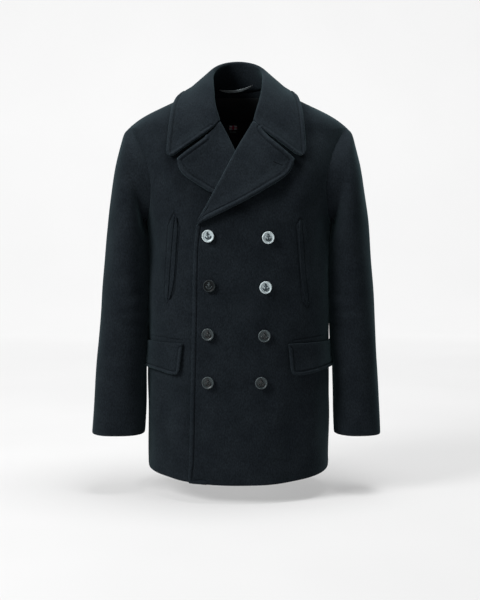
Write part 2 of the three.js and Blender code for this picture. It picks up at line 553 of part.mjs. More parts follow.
function collarGrid() {
  const half = (side) => COLLAR.map((row, i) => {
    const place = (x, angle, z, out) => (angle === undefined
      ? onFront(mirrored(side, x, z), z, out).p : onBody(side * angle, z, out).p);
    const edge = place(row.edgeX, row.edgeAngle, row.edgeZ, COLLAR_REST);
    if (i === 0) {
      const turn = ({ across, out }) => {
        const z = lerp(GORGE_START.z, GORGE.z, across / GORGE_LENGTH);
        const x = mirrored(side, lerp(GORGE_START.x, GORGE.x, across / GORGE_LENGTH), z);
        return onFront(x, z, frontOut(side, x, z) + out).p;
      };
      return { seam: turn(TURN[0]), fold: turn(TURN[4]), edge };
    }
    const seam = place(row.seamX, row.seamAngle, row.seamZ, -CLOTH / 2);
    const fold = vector(mirrored(side, row.foldX, row.foldZ), row.foldY, row.foldZ);
    seam.addScaledVector(fold.clone().sub(seam).normalize(), STAND_RISE);
    return { seam, fold, edge };
  });
  const [left, right] = [half(1), half(-1)];
  const stations = [...right, ...left.reverse().slice(1)];
  const count = (stations.length - 1) * STEPS_COLLAR;
  const lines = Object.fromEntries(['seam', 'fold', 'edge'].map((key) => [key,
    new THREE.CatmullRomCurve3(stations.map((s) => s[key]), false, 'centripetal')]));
  const tip = { x: COLLAR[0].edgeX, z: COLLAR[0].edgeZ };
  const total = topLength(tip);
  const gorge = GORGE_LENGTH / total;
  const points = steps(count).map((t) => {
    const [seam, fold, edge] = ['seam', 'fold', 'edge'].map((key) => lines[key].getPoint(t));
    const side = t < 0.5 ? -1 : 1;
    const end = Math.min(t, 1 - t) * (stations.length - 1);
    const front = 1 - smoothstep(end, 0, 1);
    if (end === 0) {
      return [...TURN.map(({ across, out }) => ({ share: across / total, out })),
        ...leafShares(LEAF.across / total, gorge)
          .map((share) => ({ share, out: lerp(LEAF.out, COLLAR_REST, share) }))]
        .map(({ share, out }) => {
          const at = notchLine(tip, share, 0);
          const x = mirrored(side, at.x, at.z);
          return onFront(x, at.z, frontOut(side, x, at.z) + out).p;
        });
    }
    const up = fold.clone().sub(seam).normalize();
    const down = edge.clone().sub(fold).normalize();
    const outwards = down.clone().addScaledVector(up, -down.dot(up)).normalize();
    const lowest = Math.atan2(down.dot(outwards), -down.dot(up));
    const roll = (share) => {
      const turn = lerp(Math.PI, lowest, share);
      return fold.clone().addScaledVector(up, COLLAR_ROLL * (Math.sin(turn) - 1))
        .addScaledVector(outwards, COLLAR_ROLL * Math.cos(turn));
    };
    const [before, after] = [roll(0), roll(1)];
    const stand = seam.clone().lerp(before, STAND_STEP);
    const head = [seam, stand, before, ...COLLAR_ROLL_STEPS.map(roll), after];
    const away = edge.clone().sub(fold).cross(lines.edge.getTangent(t)).normalize();
    if (away.z + away.x * side * 0.5 < 0) away.negate();
    const leaf = leafShares(0, gorge).map((share) => {
      const p = after.clone().lerp(edge, share);
      p.addScaledVector(away, COLLAR_BELLY * Math.sin(Math.PI * share) * (1 - front));
      const top = notchLine(tip, share, 0);
      const sway = front * 0.8;
      p.x += sway * side * (top.x - lerp(GORGE_START.x, tip.x, share));
      p.z += sway * (top.z - lerp(GORGE_START.z, tip.z, share));
      return clearOfBody(p, COLLAR_REST);
    });
    return [...head, ...leaf];
  });
  return withDirections(points, -1);
}

// A flap hangs from its top edge, on the front's own points moved out.
function flapGrid({ side, topX, lowX }) {
  return steps(5).map((v) => steps(8).map((u) => {
    const z = lerp(FLAP_LOW, FLAP_TOP, v);
    const angle = lerp(angleAt(side * lerp(lowX, topX, v), z), side * FLAP_END, u);
    const out = frontOut(side, bodyPoint(angle, z).x, z) + FLAP_REST + FLAP_LIFT * (1 - v) ** 2;
    return onBody(angle, z, out);
  }));
}

// One lip of an upright pocket. which is 1 on the far side of the slit and -1 on the near side.
function lipGrid({ topX, topZ, lowX, lowZ }, which) {
  const side = Math.sign(topX);
  return steps(9).map((v) => steps(2).map((u) => {
    const width = LIP.width * (1 - LIP.taper * (2 * v - 1) ** 6);
    const x = lerp(lowX, topX, v) + which * (LIP.slit / 2 + width * u);
    const z = lerp(lowZ, topZ, v);
    return onFront(x, z, frontOut(side, x, z) + REST);
  }));
}

function liningGrid() {
  const { from, to, top, low } = LINING_SPAN;
  return steps(8).map((v) => steps(16).map((u) => onBody(lerp(from, to, u), lerp(low, top, v))));
}

function labelGrid() {
  const { from, to, top, low } = LABEL_BOX;
  return steps(3).map((v) => steps(5).map((u) => {
    const [x, z] = [lerp(from, to, u), lerp(low, top, v)];
    return onBody(180 - angleAt(x, z), z);
  }));
}

// The loop to hang the coat by, sewn by both ends to the stand of the collar and made from its points.
function loopGrid(collarPoints) {
  return steps(12).map((v) => {
    const place = lerp(LOOP.from, LOOP.to, v) * (collarPoints.length - 1);
    const row = Math.floor(place);
    const at = (column) => collarPoints[row][column].p.clone()
      .lerp(collarPoints[row + 1][column].p, place - row);
    const [foot, top] = [at(0), at(2)];
    const around = collarPoints[row + 1][1].p.clone().sub(collarPoints[row][1].p);
    const n = around.cross(top.clone().sub(foot)).normalize();
    const swell = Math.sin(Math.PI * v);
    return steps(2).map((u) => {
      const z = lerp(LOOP.fromZ, LOOP.toZ, v) - LOOP.sag * swell + LOOP.width * (u - 0.5);
      const p = foot.clone().lerp(top, (z - foot.z) / (top.z - foot.z));
      return { p: p.addScaledVector(n, TURNED / 2 + REST + LOOP.bow * swell), n };
    });
  });
}

// A button with a raised rim and a shank, turned about its own axis.
function buttonGeometry() {
  const { radius, height, rim, shankRadius, shank, sides } = BUTTON;
  const profile = [
    [0, 0], [shankRadius, 0], [shankRadius, shank], [radius - 2, shank], [radius, shank + 1.4],
    [radius, shank + height - 1], [radius - 0.9, shank + height],
    [radius - 2.2, shank + height - rim], [0, shank + height - rim + 0.4],
  ].map(([r, z]) => new THREE.Vector2(r, z));
  return new THREE.LatheGeometry(profile, sides).rotateX(Math.PI / 2);
}

const melton = new THREE.MeshStandardMaterial({ color: 0x14191d, roughness: 0.95, metalness: 0 });
const satin = new THREE.MeshStandardMaterial({ color: 0x0b0c0e, roughness: 0.45, metalness: 0 });
const tape = new THREE.MeshStandardMaterial({ color: 0x4a5156, roughness: 0.35, metalness: 0 });
const woven = new THREE.MeshStandardMaterial({ color: 0x101114, roughness: 0.7, metalness: 0 });
const brightButton = new THREE.MeshStandardMaterial({ color: 0xaab4b6, roughness: 0.3, metalness: 0.8 });
const darkButton = new THREE.MeshStandardMaterial({ color: 0x2c3234, roughness: 0.35, metalness: 0.6 });

const coat = new THREE.Group();
function add(name, geometry, material) {
  const mesh = new THREE.Mesh(geometry, material);
  mesh.name = name;
  coat.add(mesh);
  return mesh;
}

for (const [name, side] of [['left', 1], ['right', -1]]) {
  const front = frontGrid(side);
  drawIn(front, 'end');
  drawIn(front, 'last');
  add(`front_${name}`, wall(front, 0, -CLOTH), melton);

  const sleeve = sleeveGrid(side, SLEEVE_SPREAD[name]);
  const over = sleeve.map((row) => [...row.slice(SEAM_BACK_STEP), ...row.slice(0, SEAM_FRONT_STEP + 1)]
    .map(({ p, n }) => ({ p: p.clone(), n })));
  const under = sleeve.map((row) => row.slice(SEAM_FRONT_STEP, SEAM_BACK_STEP + 1)
    .map(({ p, n }) => ({ p: p.clone(), n })));
  for (const [part, grid] of [['top', over], ['under', under]]) {
    ['start', 'end'].forEach((edge) => drawIn(grid, edge));
    add(`sleeve_${part}_${name}`, wall(grid, 0, -CLOTH), melton);
  }

  const lapel = lapelGrid(side);
  drawIn(lapel, 'last', GORGE_GAP);
  roundCorner(lapel, ROWS_LAPEL, lapel[0].length - 1, 0.1);
  add(`lapel_${name}`, wall(lapel, TURNED / 2, -TURNED / 2), melton);
}

const back = backGrid();
['start', 'end', 'last'].forEach((edge) => drawIn(back, edge));
add('back', wall(back, 0, -CLOTH), melton);

const collar = collarGrid();
drawIn(collar, 'first', GORGE_GAP);
drawIn(collar, 'last', GORGE_GAP);
roundCorner(collar, 0, collar[0].length - 1, 0.15);
roundCorner(collar, collar.length - 1, collar[0].length - 1, 0.15);
add('collar', wall(collar, TURNED / 2, -TURNED / 2), melton);

for (const flap of FLAPS) {
  const grid = flapGrid(flap);
  roundCorner(grid, 0, 0, 0.15);
  add(`flap_${flap.name}`, wall(grid, FLAP, 0), melton);
}
for (const pocket of HAND_POCKETS) {
  add(`pocket_lip_inner_${pocket.name}`, wall(lipGrid(pocket, -Math.sign(pocket.topX)), JETTING, 0), melton);
  add(`pocket_lip_outer_${pocket.name}`, wall(lipGrid(pocket, Math.sign(pocket.topX)), JETTING, 0), melton);
}

for (const { row, ...places } of BUTTON_ROWS) {
  for (const [column, { x, z }] of Object.entries(places)) {
    const { p, n } = onFront(x, z, leftFrontOut(x, z) + BUTTON_GAP);
    const bright = row === 1 || (row === 2 && column === 'inner');
    const button = add(`button_${column}_${row}`, buttonGeometry(), bright ? brightButton : darkButton);
    button.position.copy(p);
    button.quaternion.setFromUnitVectors(vector(0, 0, 1), n);
  }
}

const liningFace = -(CLOTH + LINING_REST);
add('lining_back', wall(liningGrid(), liningFace, liningFace - LINING), satin);
const labelFace = liningFace - LINING - LABEL_REST;
add('label', wall(labelGrid(), labelFace, labelFace - LABEL), woven);
add('hanger_loop', wall(loopGrid(collar), LOOP.thick, 0), tape);

export default coat;
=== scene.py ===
import math

import bmesh
import bpy
import numpy as np
from mathutils import Matrix, Vector
from mathutils.bvhtree import BVHTree


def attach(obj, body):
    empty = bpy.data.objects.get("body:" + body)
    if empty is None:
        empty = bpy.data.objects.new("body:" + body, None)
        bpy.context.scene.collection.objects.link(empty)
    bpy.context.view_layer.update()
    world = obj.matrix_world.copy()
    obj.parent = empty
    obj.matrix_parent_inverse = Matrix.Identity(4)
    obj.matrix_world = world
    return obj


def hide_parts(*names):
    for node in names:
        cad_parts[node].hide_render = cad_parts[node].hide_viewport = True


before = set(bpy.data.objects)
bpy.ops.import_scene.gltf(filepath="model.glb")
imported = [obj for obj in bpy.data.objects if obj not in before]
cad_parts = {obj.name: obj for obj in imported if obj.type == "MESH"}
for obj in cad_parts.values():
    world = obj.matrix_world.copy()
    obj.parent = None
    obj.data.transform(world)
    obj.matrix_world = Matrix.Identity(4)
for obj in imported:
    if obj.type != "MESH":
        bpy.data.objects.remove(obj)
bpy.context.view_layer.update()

# ---------------------------------------------------------------- the melton
# The coat is cut from one heavy melton: dark navy wool, woven, then milled until the weave
# closes under a short felted nap that catches the light a little at grazing angles.
MELTON_DARK = (0.0069, 0.0090, 0.0116, 1)
MELTON_LIGHT = (0.0104, 0.0135, 0.0167, 1)
# Tones that the nap attribute lays over the cloth: a painted shade, and a painted highlight over
# raised, worn nap
PAINTED_SHADE_TONE, HIGHLIGHT_AND_RAISED_NAP_TONE = (0.30, 0.30, 0.32, 1), (1.75, 1.75, 1.72, 1)
MELTON_SHEEN = (0.45, 0.74, 0.80, 1)


def shader(name, **settings):
    """A material with one principled shader, whose even values are set on its own sockets."""
    material = bpy.data.materials.new(name)
    material.use_nodes = True
    body = material.node_tree.nodes["Principled BSDF"]
    for socket, value in settings.items():
        body.inputs[socket.replace("_", " ")].default_value = value
    return material, material.node_tree, body


def noise(tree, scale, detail=2.0, stretch=(1, 1, 1)):
    """Noise on the object's own coordinates, in marks per metre."""
    place = tree.nodes.new("ShaderNodeTexCoord")
    size = tree.nodes.new("ShaderNodeMapping")
    size.inputs["Scale"].default_value = stretch
    marks = tree.nodes.new("ShaderNodeTexNoise")
    marks.inputs["Scale"].default_value = scale
    marks.inputs["Detail"].default_value = detail
    tree.links.new(place.outputs["Object"], size.inputs["Vector"])
    tree.links.new(size.outputs["Vector"], marks.inputs["Vector"])
    return marks.outputs["Fac"]


def ramp(tree, value, stops):
    """Turns a value into a colour, by stops of (place, colour)."""
    band = tree.nodes.new("ShaderNodeValToRGB")
    points = band.color_ramp.elements
    while len(points) < len(stops):
        points.new(0.5)
    for point, (place, colour) in zip(points, stops):
        point.position, point.color = place, colour
    tree.links.new(value, band.inputs["Fac"])
    return band.outputs["Color"]


def coloured(tree, body, value, stops):
    """Gives a shader the colour that a value has by those stops."""
    tree.links.new(ramp(tree, value, stops), body.inputs["Base Color"])


def grey(value):
    """A grey of that value."""
    return value, value, value, 1


def painted(tree, name):
    """The share that each point of a piece carries under that name."""
    layer = tree.nodes.new("ShaderNodeAttribute")
    layer.attribute_name = name
    return layer.outputs["Fac"]


def mix(tree, share, first, second, kind="MIX"):
    """Mixes two colours, each a colour or a socket, by a share or a socket."""
    node = tree.nodes.new("ShaderNodeMix")
    node.data_type = "RGBA"
    node.blend_type = kind
    for socket, given in ((0, share), (6, first), (7, second)):
        if isinstance(given, bpy.types.NodeSocket):
            tree.links.new(given, node.inputs[socket])
        else:
            node.inputs[socket].default_value = given
    return node.outputs[2]


def bump(tree, body, height, strength, distance, under=None):
    """Adds fine relief to a shader, over what relief it has."""
    relief = tree.nodes.new("ShaderNodeBump")
    relief.inputs["Strength"].default_value = strength
    relief.inputs["Distance"].default_value = distance
    tree.links.new(height, relief.inputs["Height"])
    if under is not None:
        tree.links.new(under, relief.inputs["Normal"])
    tree.links.new(relief.outputs["Normal"], body.inputs["Normal"])
    return relief.outputs["Normal"]


melton, tree, body = shader("melton_wool", Roughness=0.95, Sheen_Weight=0.085, Sheen_Roughness=0.45,
                            Sheen_Tint=MELTON_SHEEN, Specular_IOR_Level=0.02)
broad = ramp(tree, noise(tree, 26, 3), [(0.25, grey(0)), (0.75, grey(1))])
cloth_colour = mix(tree, broad, MELTON_DARK, MELTON_LIGHT)
fibres = ramp(tree, noise(tree, 520, 4, (1, 1, 0.45)), [(0.36, grey(0.72)), (0.66, grey(1.32))])
nap_and_painted_light = painted(tree, "nap_and_painted_light")  # from -1, painted shade, to 1, painted highlight over raised, worn nap
painted_light_share = tree.nodes.new("ShaderNodeMath")
painted_light_share.operation = "MULTIPLY_ADD"
painted_light_share.inputs[1].default_value = painted_light_share.inputs[2].default_value = 0.5
tree.links.new(nap_and_painted_light, painted_light_share.inputs[0])
# Painted light: the cloth's colour darkens where painted shade lies and lightens where painted
# highlight lies
painted_light = ramp(tree, painted_light_share.outputs["Value"], [(0.0, PAINTED_SHADE_TONE), (0.5, grey(1)), (1.0, HIGHLIGHT_AND_RAISED_NAP_TONE)])
woven_colour = mix(tree, 1.0, cloth_colour, fibres, "MULTIPLY")
tree.links.new(mix(tree, 1.0, woven_colour, painted_light, "MULTIPLY"), body.inputs["Base Color"])
felt = bump(tree, body, noise(tree, 240, 5), 0.35, 0.0011)
bump(tree, body, noise(tree, 1500, 3, (1, 1, 0.5)), 0.5, 0.0004, felt)

# ------------------------------------------------------------ fronts and back
# Two fronts and a one-piece back, each cut flat from the melton and sewn at the sides and
# shoulders. Heavy cloth holds its shape and shows only a few soft, broad folds.
BODY_MIDDLE = (0.0, 0.006)
BODY_HALF = (0.190, 0.145)
SHOULDER_FROM, SHOULDER_TO = -0.20, -0.07  # between these heights the body turns into the shoulders
SHOULDER_UP = 9  # how much the way out turns upwards there
FACE_BLEND = 0.05  # the front's and the back's folds fade over this depth towards the sides
RIM = 0.0009  # rounding of every cut and turned edge
KINK = -0.86  # cosine from which two edges in a row make a corner
KINK_REACH = 2.2 * RIM
FRONT_EDGE_BY = 0.0095  # how far in the front's edge is stitched
FULL_SIDES = dict(left=0.0050, right=0.0025)  # how far the sides stand out once the cloth is filled
SIDE_FROM, SIDE_TO = 0.06, 0.17  # between these distances from the middle that fullness grows
BODY_WAVES = [  # slow waves: the height, how many go round, and how fast they turn with height
    dict(height=0.0006, round=7, up=31, start=0),
    dict(height=0.0005, round=11, up=-47, start=1.3),
]
# Folds in the body: the middle, reach across and along, lean in degrees, and height.
FRONT_FOLDS = [
    dict(x=-0.116, z=-0.690, across=0.022, along=0.120, lean=3, height=0.0034),
    dict(x=-0.150, z=-0.690, across=0.016, along=0.130, lean=2, height=-0.0030),
    dict(x=-0.078, z=-0.700, across=0.014, along=0.110, lean=0, height=-0.0016),
    dict(x=0.152, z=-0.700, across=0.018, along=0.120, lean=-3, height=0.0026),
    dict(x=0.108, z=-0.705, across=0.018, along=0.120, lean=-2, height=-0.0024),
    dict(x=0.128, z=-0.235, across=0.020, along=0.055, lean=-12, height=0.0030),
    dict(x=0.092, z=-0.240, across=0.018, along=0.055, lean=-20, height=-0.0030),
    dict(x=0.160, z=-0.250, across=0.011, along=0.050, lean=-24, height=-0.0032),
    dict(x=-0.150, z=-0.225, across=0.012, along=0.070, lean=22, height=-0.0036),
    dict(x=-0.125, z=-0.230, across=0.016, along=0.055, lean=14, height=0.0022),
    dict(x=0.0, z=-0.560, across=0.030, along=0.060, lean=80, height=-0.0012),
    dict(x=-0.010, z=-0.380, across=0.016, along=0.050, lean=86, height=-0.0014),
    dict(x=0.164, z=-0.380, across=0.012, along=0.090, lean=-8, height=-0.0026),
    dict(x=-0.168, z=-0.390, across=0.012, along=0.100, lean=8, height=-0.0028),
]
BACK_FOLDS = [
    dict(x=0.140, z=-0.300, across=0.014, along=0.080, lean=-28, height=-0.0040),
    dict(x=-0.146, z=-0.290, across=0.014, along=0.085, lean=26, height=-0.0042),
    dict(x=0.112, z=-0.280, across=0.018, along=0.080, lean=-22, height=0.0028),
    dict(x=-0.118, z=-0.275, across=0.017, along=0.075, lean=24, height=0.0028),
    dict(x=0.050, z=-0.640, across=0.018, along=0.150, lean=2, height=-0.0034),
    dict(x=-0.060, z=-0.660, across=0.020, along=0.140, lean=-3, height=-0.0034),
    dict(x=0.130, z=-0.660, across=0.016, along=0.150, lean=3, height=-0.0032),
    dict(x=-0.138, z=-0.650, across=0.016, along=0.150, lean=-3, height=-0.0030),
    dict(x=0.010, z=-0.470, across=0.017, along=0.075, lean=82, height=-0.0026),
    dict(x=-0.020, z=-0.505, across=0.015, along=0.065, lean=98, height=0.0020),
    dict(x=0.0, z=-0.150, across=0.016, along=0.070, lean=88, height=-0.0022),
]


def ease(value, start, end):
    """0 before start, 1 past end, smooth between."""
    t = np.clip((value - start) / (end - start), 0, 1)
    return t * t * (3 - 2 * t)


def body_outward(points):
    """The way out of the body at each point: level, and up over the shoulders."""
    way = np.empty_like(points)
    way[:, 0] = (points[:, 0] - BODY_MIDDLE[0]) / BODY_HALF[0] ** 2
    way[:, 1] = (points[:, 1] - BODY_MIDDLE[1]) / BODY_HALF[1] ** 2
    way[:, 2] = SHOULDER_UP * ease(points[:, 2], SHOULDER_FROM, SHOULDER_TO)
    return way / np.maximum(np.linalg.norm(way, axis=1, keepdims=True), 1e-9)


def fold_heights(points, folds):
    """The height of a table of folds at each point, seen from the front or the back."""
    total = np.zeros(len(points))
    for f in folds:
        lean = math.radians(f["lean"])
        x, z = points[:, 0] - f["x"], points[:, 2] - f["z"]
        across = (x * math.cos(lean) + z * math.sin(lean)) / f["across"]
        along = (z * math.cos(lean) - x * math.sin(lean)) / f["along"]
        total += f["height"] * np.exp(-across ** 2 - along ** 2)
    return total


def waves(table, turn, z, side=1):
    """The height of a table of waves, at angles round a piece."""
    return sum(w["height"] * np.sin(w["round"] * turn + w["up"] * z + w["start"] * side)
               for w in table)


def body_drape(points):
    """How far the body's folds move each point. What lies on the body moves with them."""
    facing = points[:, 1] - BODY_MIDDLE[1]
    front = fold_heights(points, FRONT_FOLDS) * ease(-facing, 0.0, FACE_BLEND)
    back = fold_heights(points, BACK_FOLDS) * ease(facing, 0.0, FACE_BLEND)
    x, y, z = points.T
    wave = waves(BODY_WAVES, np.arctan2(x, -y), z)
    wave += (FULL_SIDES["left"] * ease(x, SIDE_FROM, SIDE_TO)
             + FULL_SIDES["right"] * ease(-x, SIDE_FROM, SIDE_TO))
    quiet = 1 - ease(z, SHOULDER_FROM, SHOULDER_TO)
    return body_outward(points) * ((front + back + wave) * quiet)[:, None]


def as_points(mesh):
    """Where a mesh's points are, as rows of x, y and z."""
    points = np.empty(len(mesh.vertices) * 3)
    mesh.vertices.foreach_get("co", points)
    return points.reshape(-1, 3)


def normals_of(mesh):
    """Which way a mesh's points look."""
    normals = np.empty(len(mesh.vertices) * 3)
    mesh.vertices.foreach_get("normal", normals)
    return normals.reshape(-1, 3)


def put_points(mesh, points):
    """Moves a mesh's points to those places."""
    mesh.vertices.foreach_set("co", points.ravel())
    mesh.update()


def surface(piece):
    """A piece's surface, to look up the nearest place on it."""
    return BVHTree.FromObject(piece, bpy.context.evaluated_depsgraph_get())


def out_by(normals, middles, outward):
    """How squarely each normal looks out of the piece: 1 straight out, and 0 sideways."""
    return np.einsum("ij,ij->i", normals, outward(middles))


def rim_edges(form, least):
    """The edges where a form turns by at least that many degrees."""
    return [e for e in form.edges
            if len(e.link_faces) == 2 and e.calc_face_angle(0) > math.radians(least)]


def form_of(node, least=60, tip=None, tip_radius=0.006, rim=RIM):
    """The node's own form in quads, with its edges rounded, ready to be smoothed.
    Corners where tip(place) holds are rounded in plan as well."""
    form = bmesh.new()
    form.from_mesh(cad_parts[node].data)
    bmesh.ops.remove_doubles(form, verts=form.verts, dist=2e-5)
    bmesh.ops.join_triangles(form, faces=form.faces, angle_face_threshold=math.pi,
                             angle_shape_threshold=math.pi, topology_influence=1.5)
    form.verts.index_update()
    rims = set(rim_edges(form, least))
    corners = [e for e in rims if all(sum(x in rims for x in v.link_edges) >= 3 for v in e.verts)]
    kinks = []
    for v in form.verts:
        run = [e for e in v.link_edges if e in rims and e not in corners]
        if len(run) == 2:
            ways = [(e.other_vert(v).co - v.co).normalized() for e in run]
            if ways[0].dot(ways[1]) > KINK:
                kinks.append(v.co.copy())
    if tip:
        turned = [e for e in corners if tip((e.verts[0].co + e.verts[1].co) / 2)]
        if turned:
            bmesh.ops.bevel(form, geom=turned, offset=tip_radius, offset_type="OFFSET",
                            affect="EDGES", segments=3, profile=0.5, material=-1,
                            clamp_overlap=False)
    if rim:
        bmesh.ops.bevel(form, geom=rim_edges(form, least), offset=rim, offset_type="OFFSET",
                        affect="EDGES", segments=1, profile=0.5, material=-1, clamp_overlap=True)
    points, edges = form.verts.layers.float, form.edges.layers.float
    pinned = points.get("crease_vert") or points.new("crease_vert")
    creased = edges.get("crease_edge") or edges.new("crease_edge")
    for v in form.verts:
        if any((v.co - k).length < KINK_REACH for k in kinks):
            v[pinned] = 1.0
    for e in rim_edges(form, least):
        e[creased] = 1.0
    return form


def smoothed(form, name, levels=2):
    """Turns a form into an object, smoothed by that many subdivisions."""
    mesh = bpy.data.meshes.new(name)
    form.to_mesh(mesh)
    form.free()
    piece = bpy.data.objects.new(name, mesh)
    bpy.context.scene.collection.objects.link(piece)
    if levels:
        smoothing = piece.modifiers.new("smoothing", "SUBSURF")
        smoothing.levels = smoothing.render_levels = levels
        now = bpy.context.evaluated_depsgraph_get()
        done = bpy.data.meshes.new_from_object(piece.evaluated_get(now))
        piece.modifiers.clear()
        piece.data = done
        bpy.data.meshes.remove(mesh)
        done.name = name
    return piece


def refine(piece, where, cuts=1, least_area=6e-6):
    """Divides the faces for which where(middles, normals) holds, and leaves the narrow ones at
    the rims."""
    form = bmesh.new()
    form.from_mesh(piece.data)
    form.faces.ensure_lookup_table()
    middles = np.array([f.calc_center_median() for f in form.faces])
    normals = np.array([f.normal for f in form.faces])
    sizes = np.array([f.calc_area() for f in form.faces])
    chosen = np.flatnonzero(where(middles, normals) & (sizes > least_area))
    edges = list({e for i in chosen for e in form.faces[int(i)].edges})
    bmesh.ops.subdivide_edges(form, edges=edges, cuts=cuts, use_grid_fill=True)
    form.to_mesh(piece.data)
    form.free()


def refine_outside(piece, outward=body_outward, least=0.25):
    """Divides the faces that look outwards, where the cloth shows."""
    refine(piece, lambda middles, normals: out_by(normals, middles, outward) > least)


def away_from(points, line):
    """How far each point lies from a line of segments, given as its row of points."""
    near = np.full(len(points), np.inf)
    for a, b in zip(line[:-1], line[1:]):
        run = b - a
        t = np.clip((points - a) @ run / max(run @ run, 1e-12), 0, 1)
        near = np.minimum(near, np.linalg.norm(points - a - t[:, None] * run, axis=1))
    return near


def edge_row(node, keep, least=60):
    """The longest outer line of a node's edge where keep(place) holds, as a row of points."""
    form = form_of(node, least, rim=0)
    links = {}
    for e in rim_edges(form, least):
        a, b = e.verts
        way = Vector(body_outward(np.array([(a.co + b.co) / 2]))[0])
        low, high = sorted(f.normal.dot(way) for f in e.link_faces)
        if low > 0.5 or high < 0.5 or not (keep(a.co) and keep(b.co)):
            continue
        links.setdefault(a, []).append(b)
        links.setdefault(b, []).append(a)
    rows, left = [], set(links)
    for start in sorted(links, key=lambda v: (len(links[v]) != 1, -v.co.z, -v.co.x)):
        row, at = [], start if start in left else None
        while at is not None:
            row.append(np.array(at.co))
            left.discard(at)
            at = next((v for v in links[at] if v in left), None)
        if len(row) > 1:
            rows.append(np.array(row))
    form.free()
    return max(rows, key=lambda row: np.linalg.norm(np.diff(row, axis=0), axis=1).sum())


def even(row, step):
    """Points at even steps along a smooth curve through a row of points."""
    row = np.asarray(row)
    padded = np.vstack([2 * row[0] - row[1], row, 2 * row[-1] - row[-2]])
    dense = []
    for i in range(1, len(padded) - 2):
        p0, p1, p2, p3 = padded[i - 1:i + 3]
        for t in np.linspace(0, 1, 12, endpoint=False):
            dense.append(0.5 * (2 * p1 + (p2 - p0) * t + (2 * p0 - 5 * p1 + 4 * p2 - p3) * t ** 2
                                + (3 * p1 - p0 - 3 * p2 + p3) * t ** 3))
    dense.append(row[-1])
    dense = np.array(dense)
    along = np.concatenate([[0], np.cumsum(np.linalg.norm(np.diff(dense, axis=0), axis=1))])
    at = np.linspace(0, along[-1], max(2, int(along[-1] / step) + 1))
    return np.stack([np.interp(at, along, dense[:, i]) for i in range(3)], axis=1)


def inside_row(piece, row, by):
    """A row of points on a piece, that far in from its edge."""
    view = surface(piece)
    heading = np.gradient(row, axis=0)
    heading /= np.linalg.norm(heading, axis=1, keepdims=True)
    side = np.cross(body_outward(row), heading)
    side /= np.linalg.norm(side, axis=1, keepdims=True)
    tries = [[view.find_nearest(Vector(p + sign * by * s)) for p, s in zip(row, side)]
             for sign in (-1, 1)]
    nearest = min(tries, key=lambda found: sum(f[3] for f in found))
    return np.array([f[0] for f in nearest])


def add_painted_light(piece, change):
    """Adds painted light at each point: below 0 painted shade, above 0 painted highlight over
    raised, worn nap.
    """
    layers = piece.data.attributes
    layer = layers.get("nap_and_painted_light") or layers.new("nap_and_painted_light", "FLOAT", "POINT")
    values = np.zeros(len(piece.data.vertices), dtype=np.float32)
    layer.data.foreach_get("value", values)
    layer.data.foreach_set("value", np.clip(values + change, -1, 1).astype(np.float32))


OUTER = 0.2  # from here on a normal counts as the outer side of the cloth
PAST_GROOVE = dict(divided=0.006, moved=0.012)  # how far past a groove the cloth is worked
GROOVE = 0.0013  # half the width of the groove that a row of stitches draws in
LIFT_REACH = 0.03  # how far in from a lifted edge the cloth lies flat again
RIDGE_HIGHLIGHT = dict(nap_and_painted_light=0.42, middle=0.42, width=0.40)  # painted highlight over raised, worn nap along a swelled edge, by its depth
GROOVE_SHADE = dict(nap_and_painted_light=0.75, width=0.9)  # painted shade in its stitched groove, by the groove's width


def swell(piece, row, by, puff, groove, lift=0.0, painted_light=1.0):
    """Presses a stitched groove that far in from an edge, puffs the cloth between the two,
    and lifts the whole edge off what it lies on; paints highlight on the ridge and shade in the
    groove."""
    refine(piece, lambda m, n: (away_from(m, row) < by + PAST_GROOVE["divided"])
           & (out_by(n, m, body_outward) > OUTER), cuts=3, least_area=8e-6)
    points = as_points(piece.data)
    normals = normals_of(piece.data)
    far = away_from(points, row)
    height = (puff * np.sin(np.pi * np.clip(far / by, 0, 1))
              - groove * np.exp(-((far - by) / GROOVE) ** 2))
    facing = out_by(normals, points, body_outward) > OUTER
    height *= facing * (far < by + PAST_GROOVE["moved"])
    raised = body_outward(points) * (lift * (1 - ease(far, 0.0, LIFT_REACH)))[:, None]
    put_points(piece.data, points + normals * height[:, None] + raised)
    # Painted highlight along the swelled ridge, partly worn nap, and painted shade in the groove
    ridge_highlight = RIDGE_HIGHLIGHT["nap_and_painted_light"] * np.exp(-((far - RIDGE_HIGHLIGHT["middle"] * by) / (RIDGE_HIGHLIGHT["width"] * by)) ** 2)
    flat = GROOVE_SHADE["nap_and_painted_light"] * np.exp(-((far - by) / (GROOVE_SHADE["width"] * GROOVE)) ** 2)
    add_painted_light(piece, painted_light * facing * (ridge_highlight - flat))


def pressed(piece, rows, groove, width, dark, puff=0.0, inside=None):
    """Presses stitched lines into a piece, paints shade along them, and puffs the cloth where
    inside(points) holds.
    """
    near_by = 0.008 if inside is None else 0.012
    refine(piece, lambda m, n: (np.minimum.reduce([away_from(m, row) for row in rows]) < near_by)
           & (out_by(n, m, body_outward) > OUTER), cuts=2, least_area=2e-6)
    points = as_points(piece.data)
    normals = normals_of(piece.data)
    facing = out_by(normals, points, body_outward) > OUTER
    far = np.minimum.reduce([away_from(points, row) for row in rows])
    line = np.exp(-(far / width) ** 2)
    height = -groove * line
    if inside is not None:
        height += puff * inside(points) * (1 - np.exp(-(far / (2.5 * width)) ** 2))
    put_points(piece.data, points + normals * (facing * height)[:, None])
    # Painted shade along the pressed lines
    add_painted_light(piece, -dark * facing * line)


def dressed(piece, material, nodes):
    """Gives a cloth piece its material and smooth shading, hangs it on the root, and hides the
    nodes it replaces.
    """
    piece.data.materials.clear()
    piece.data.materials.append(material)
    piece.data.polygons.foreach_set("use_smooth", [True] * len(piece.data.polygons))
    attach(piece, "root")
    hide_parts(*nodes)
    return piece


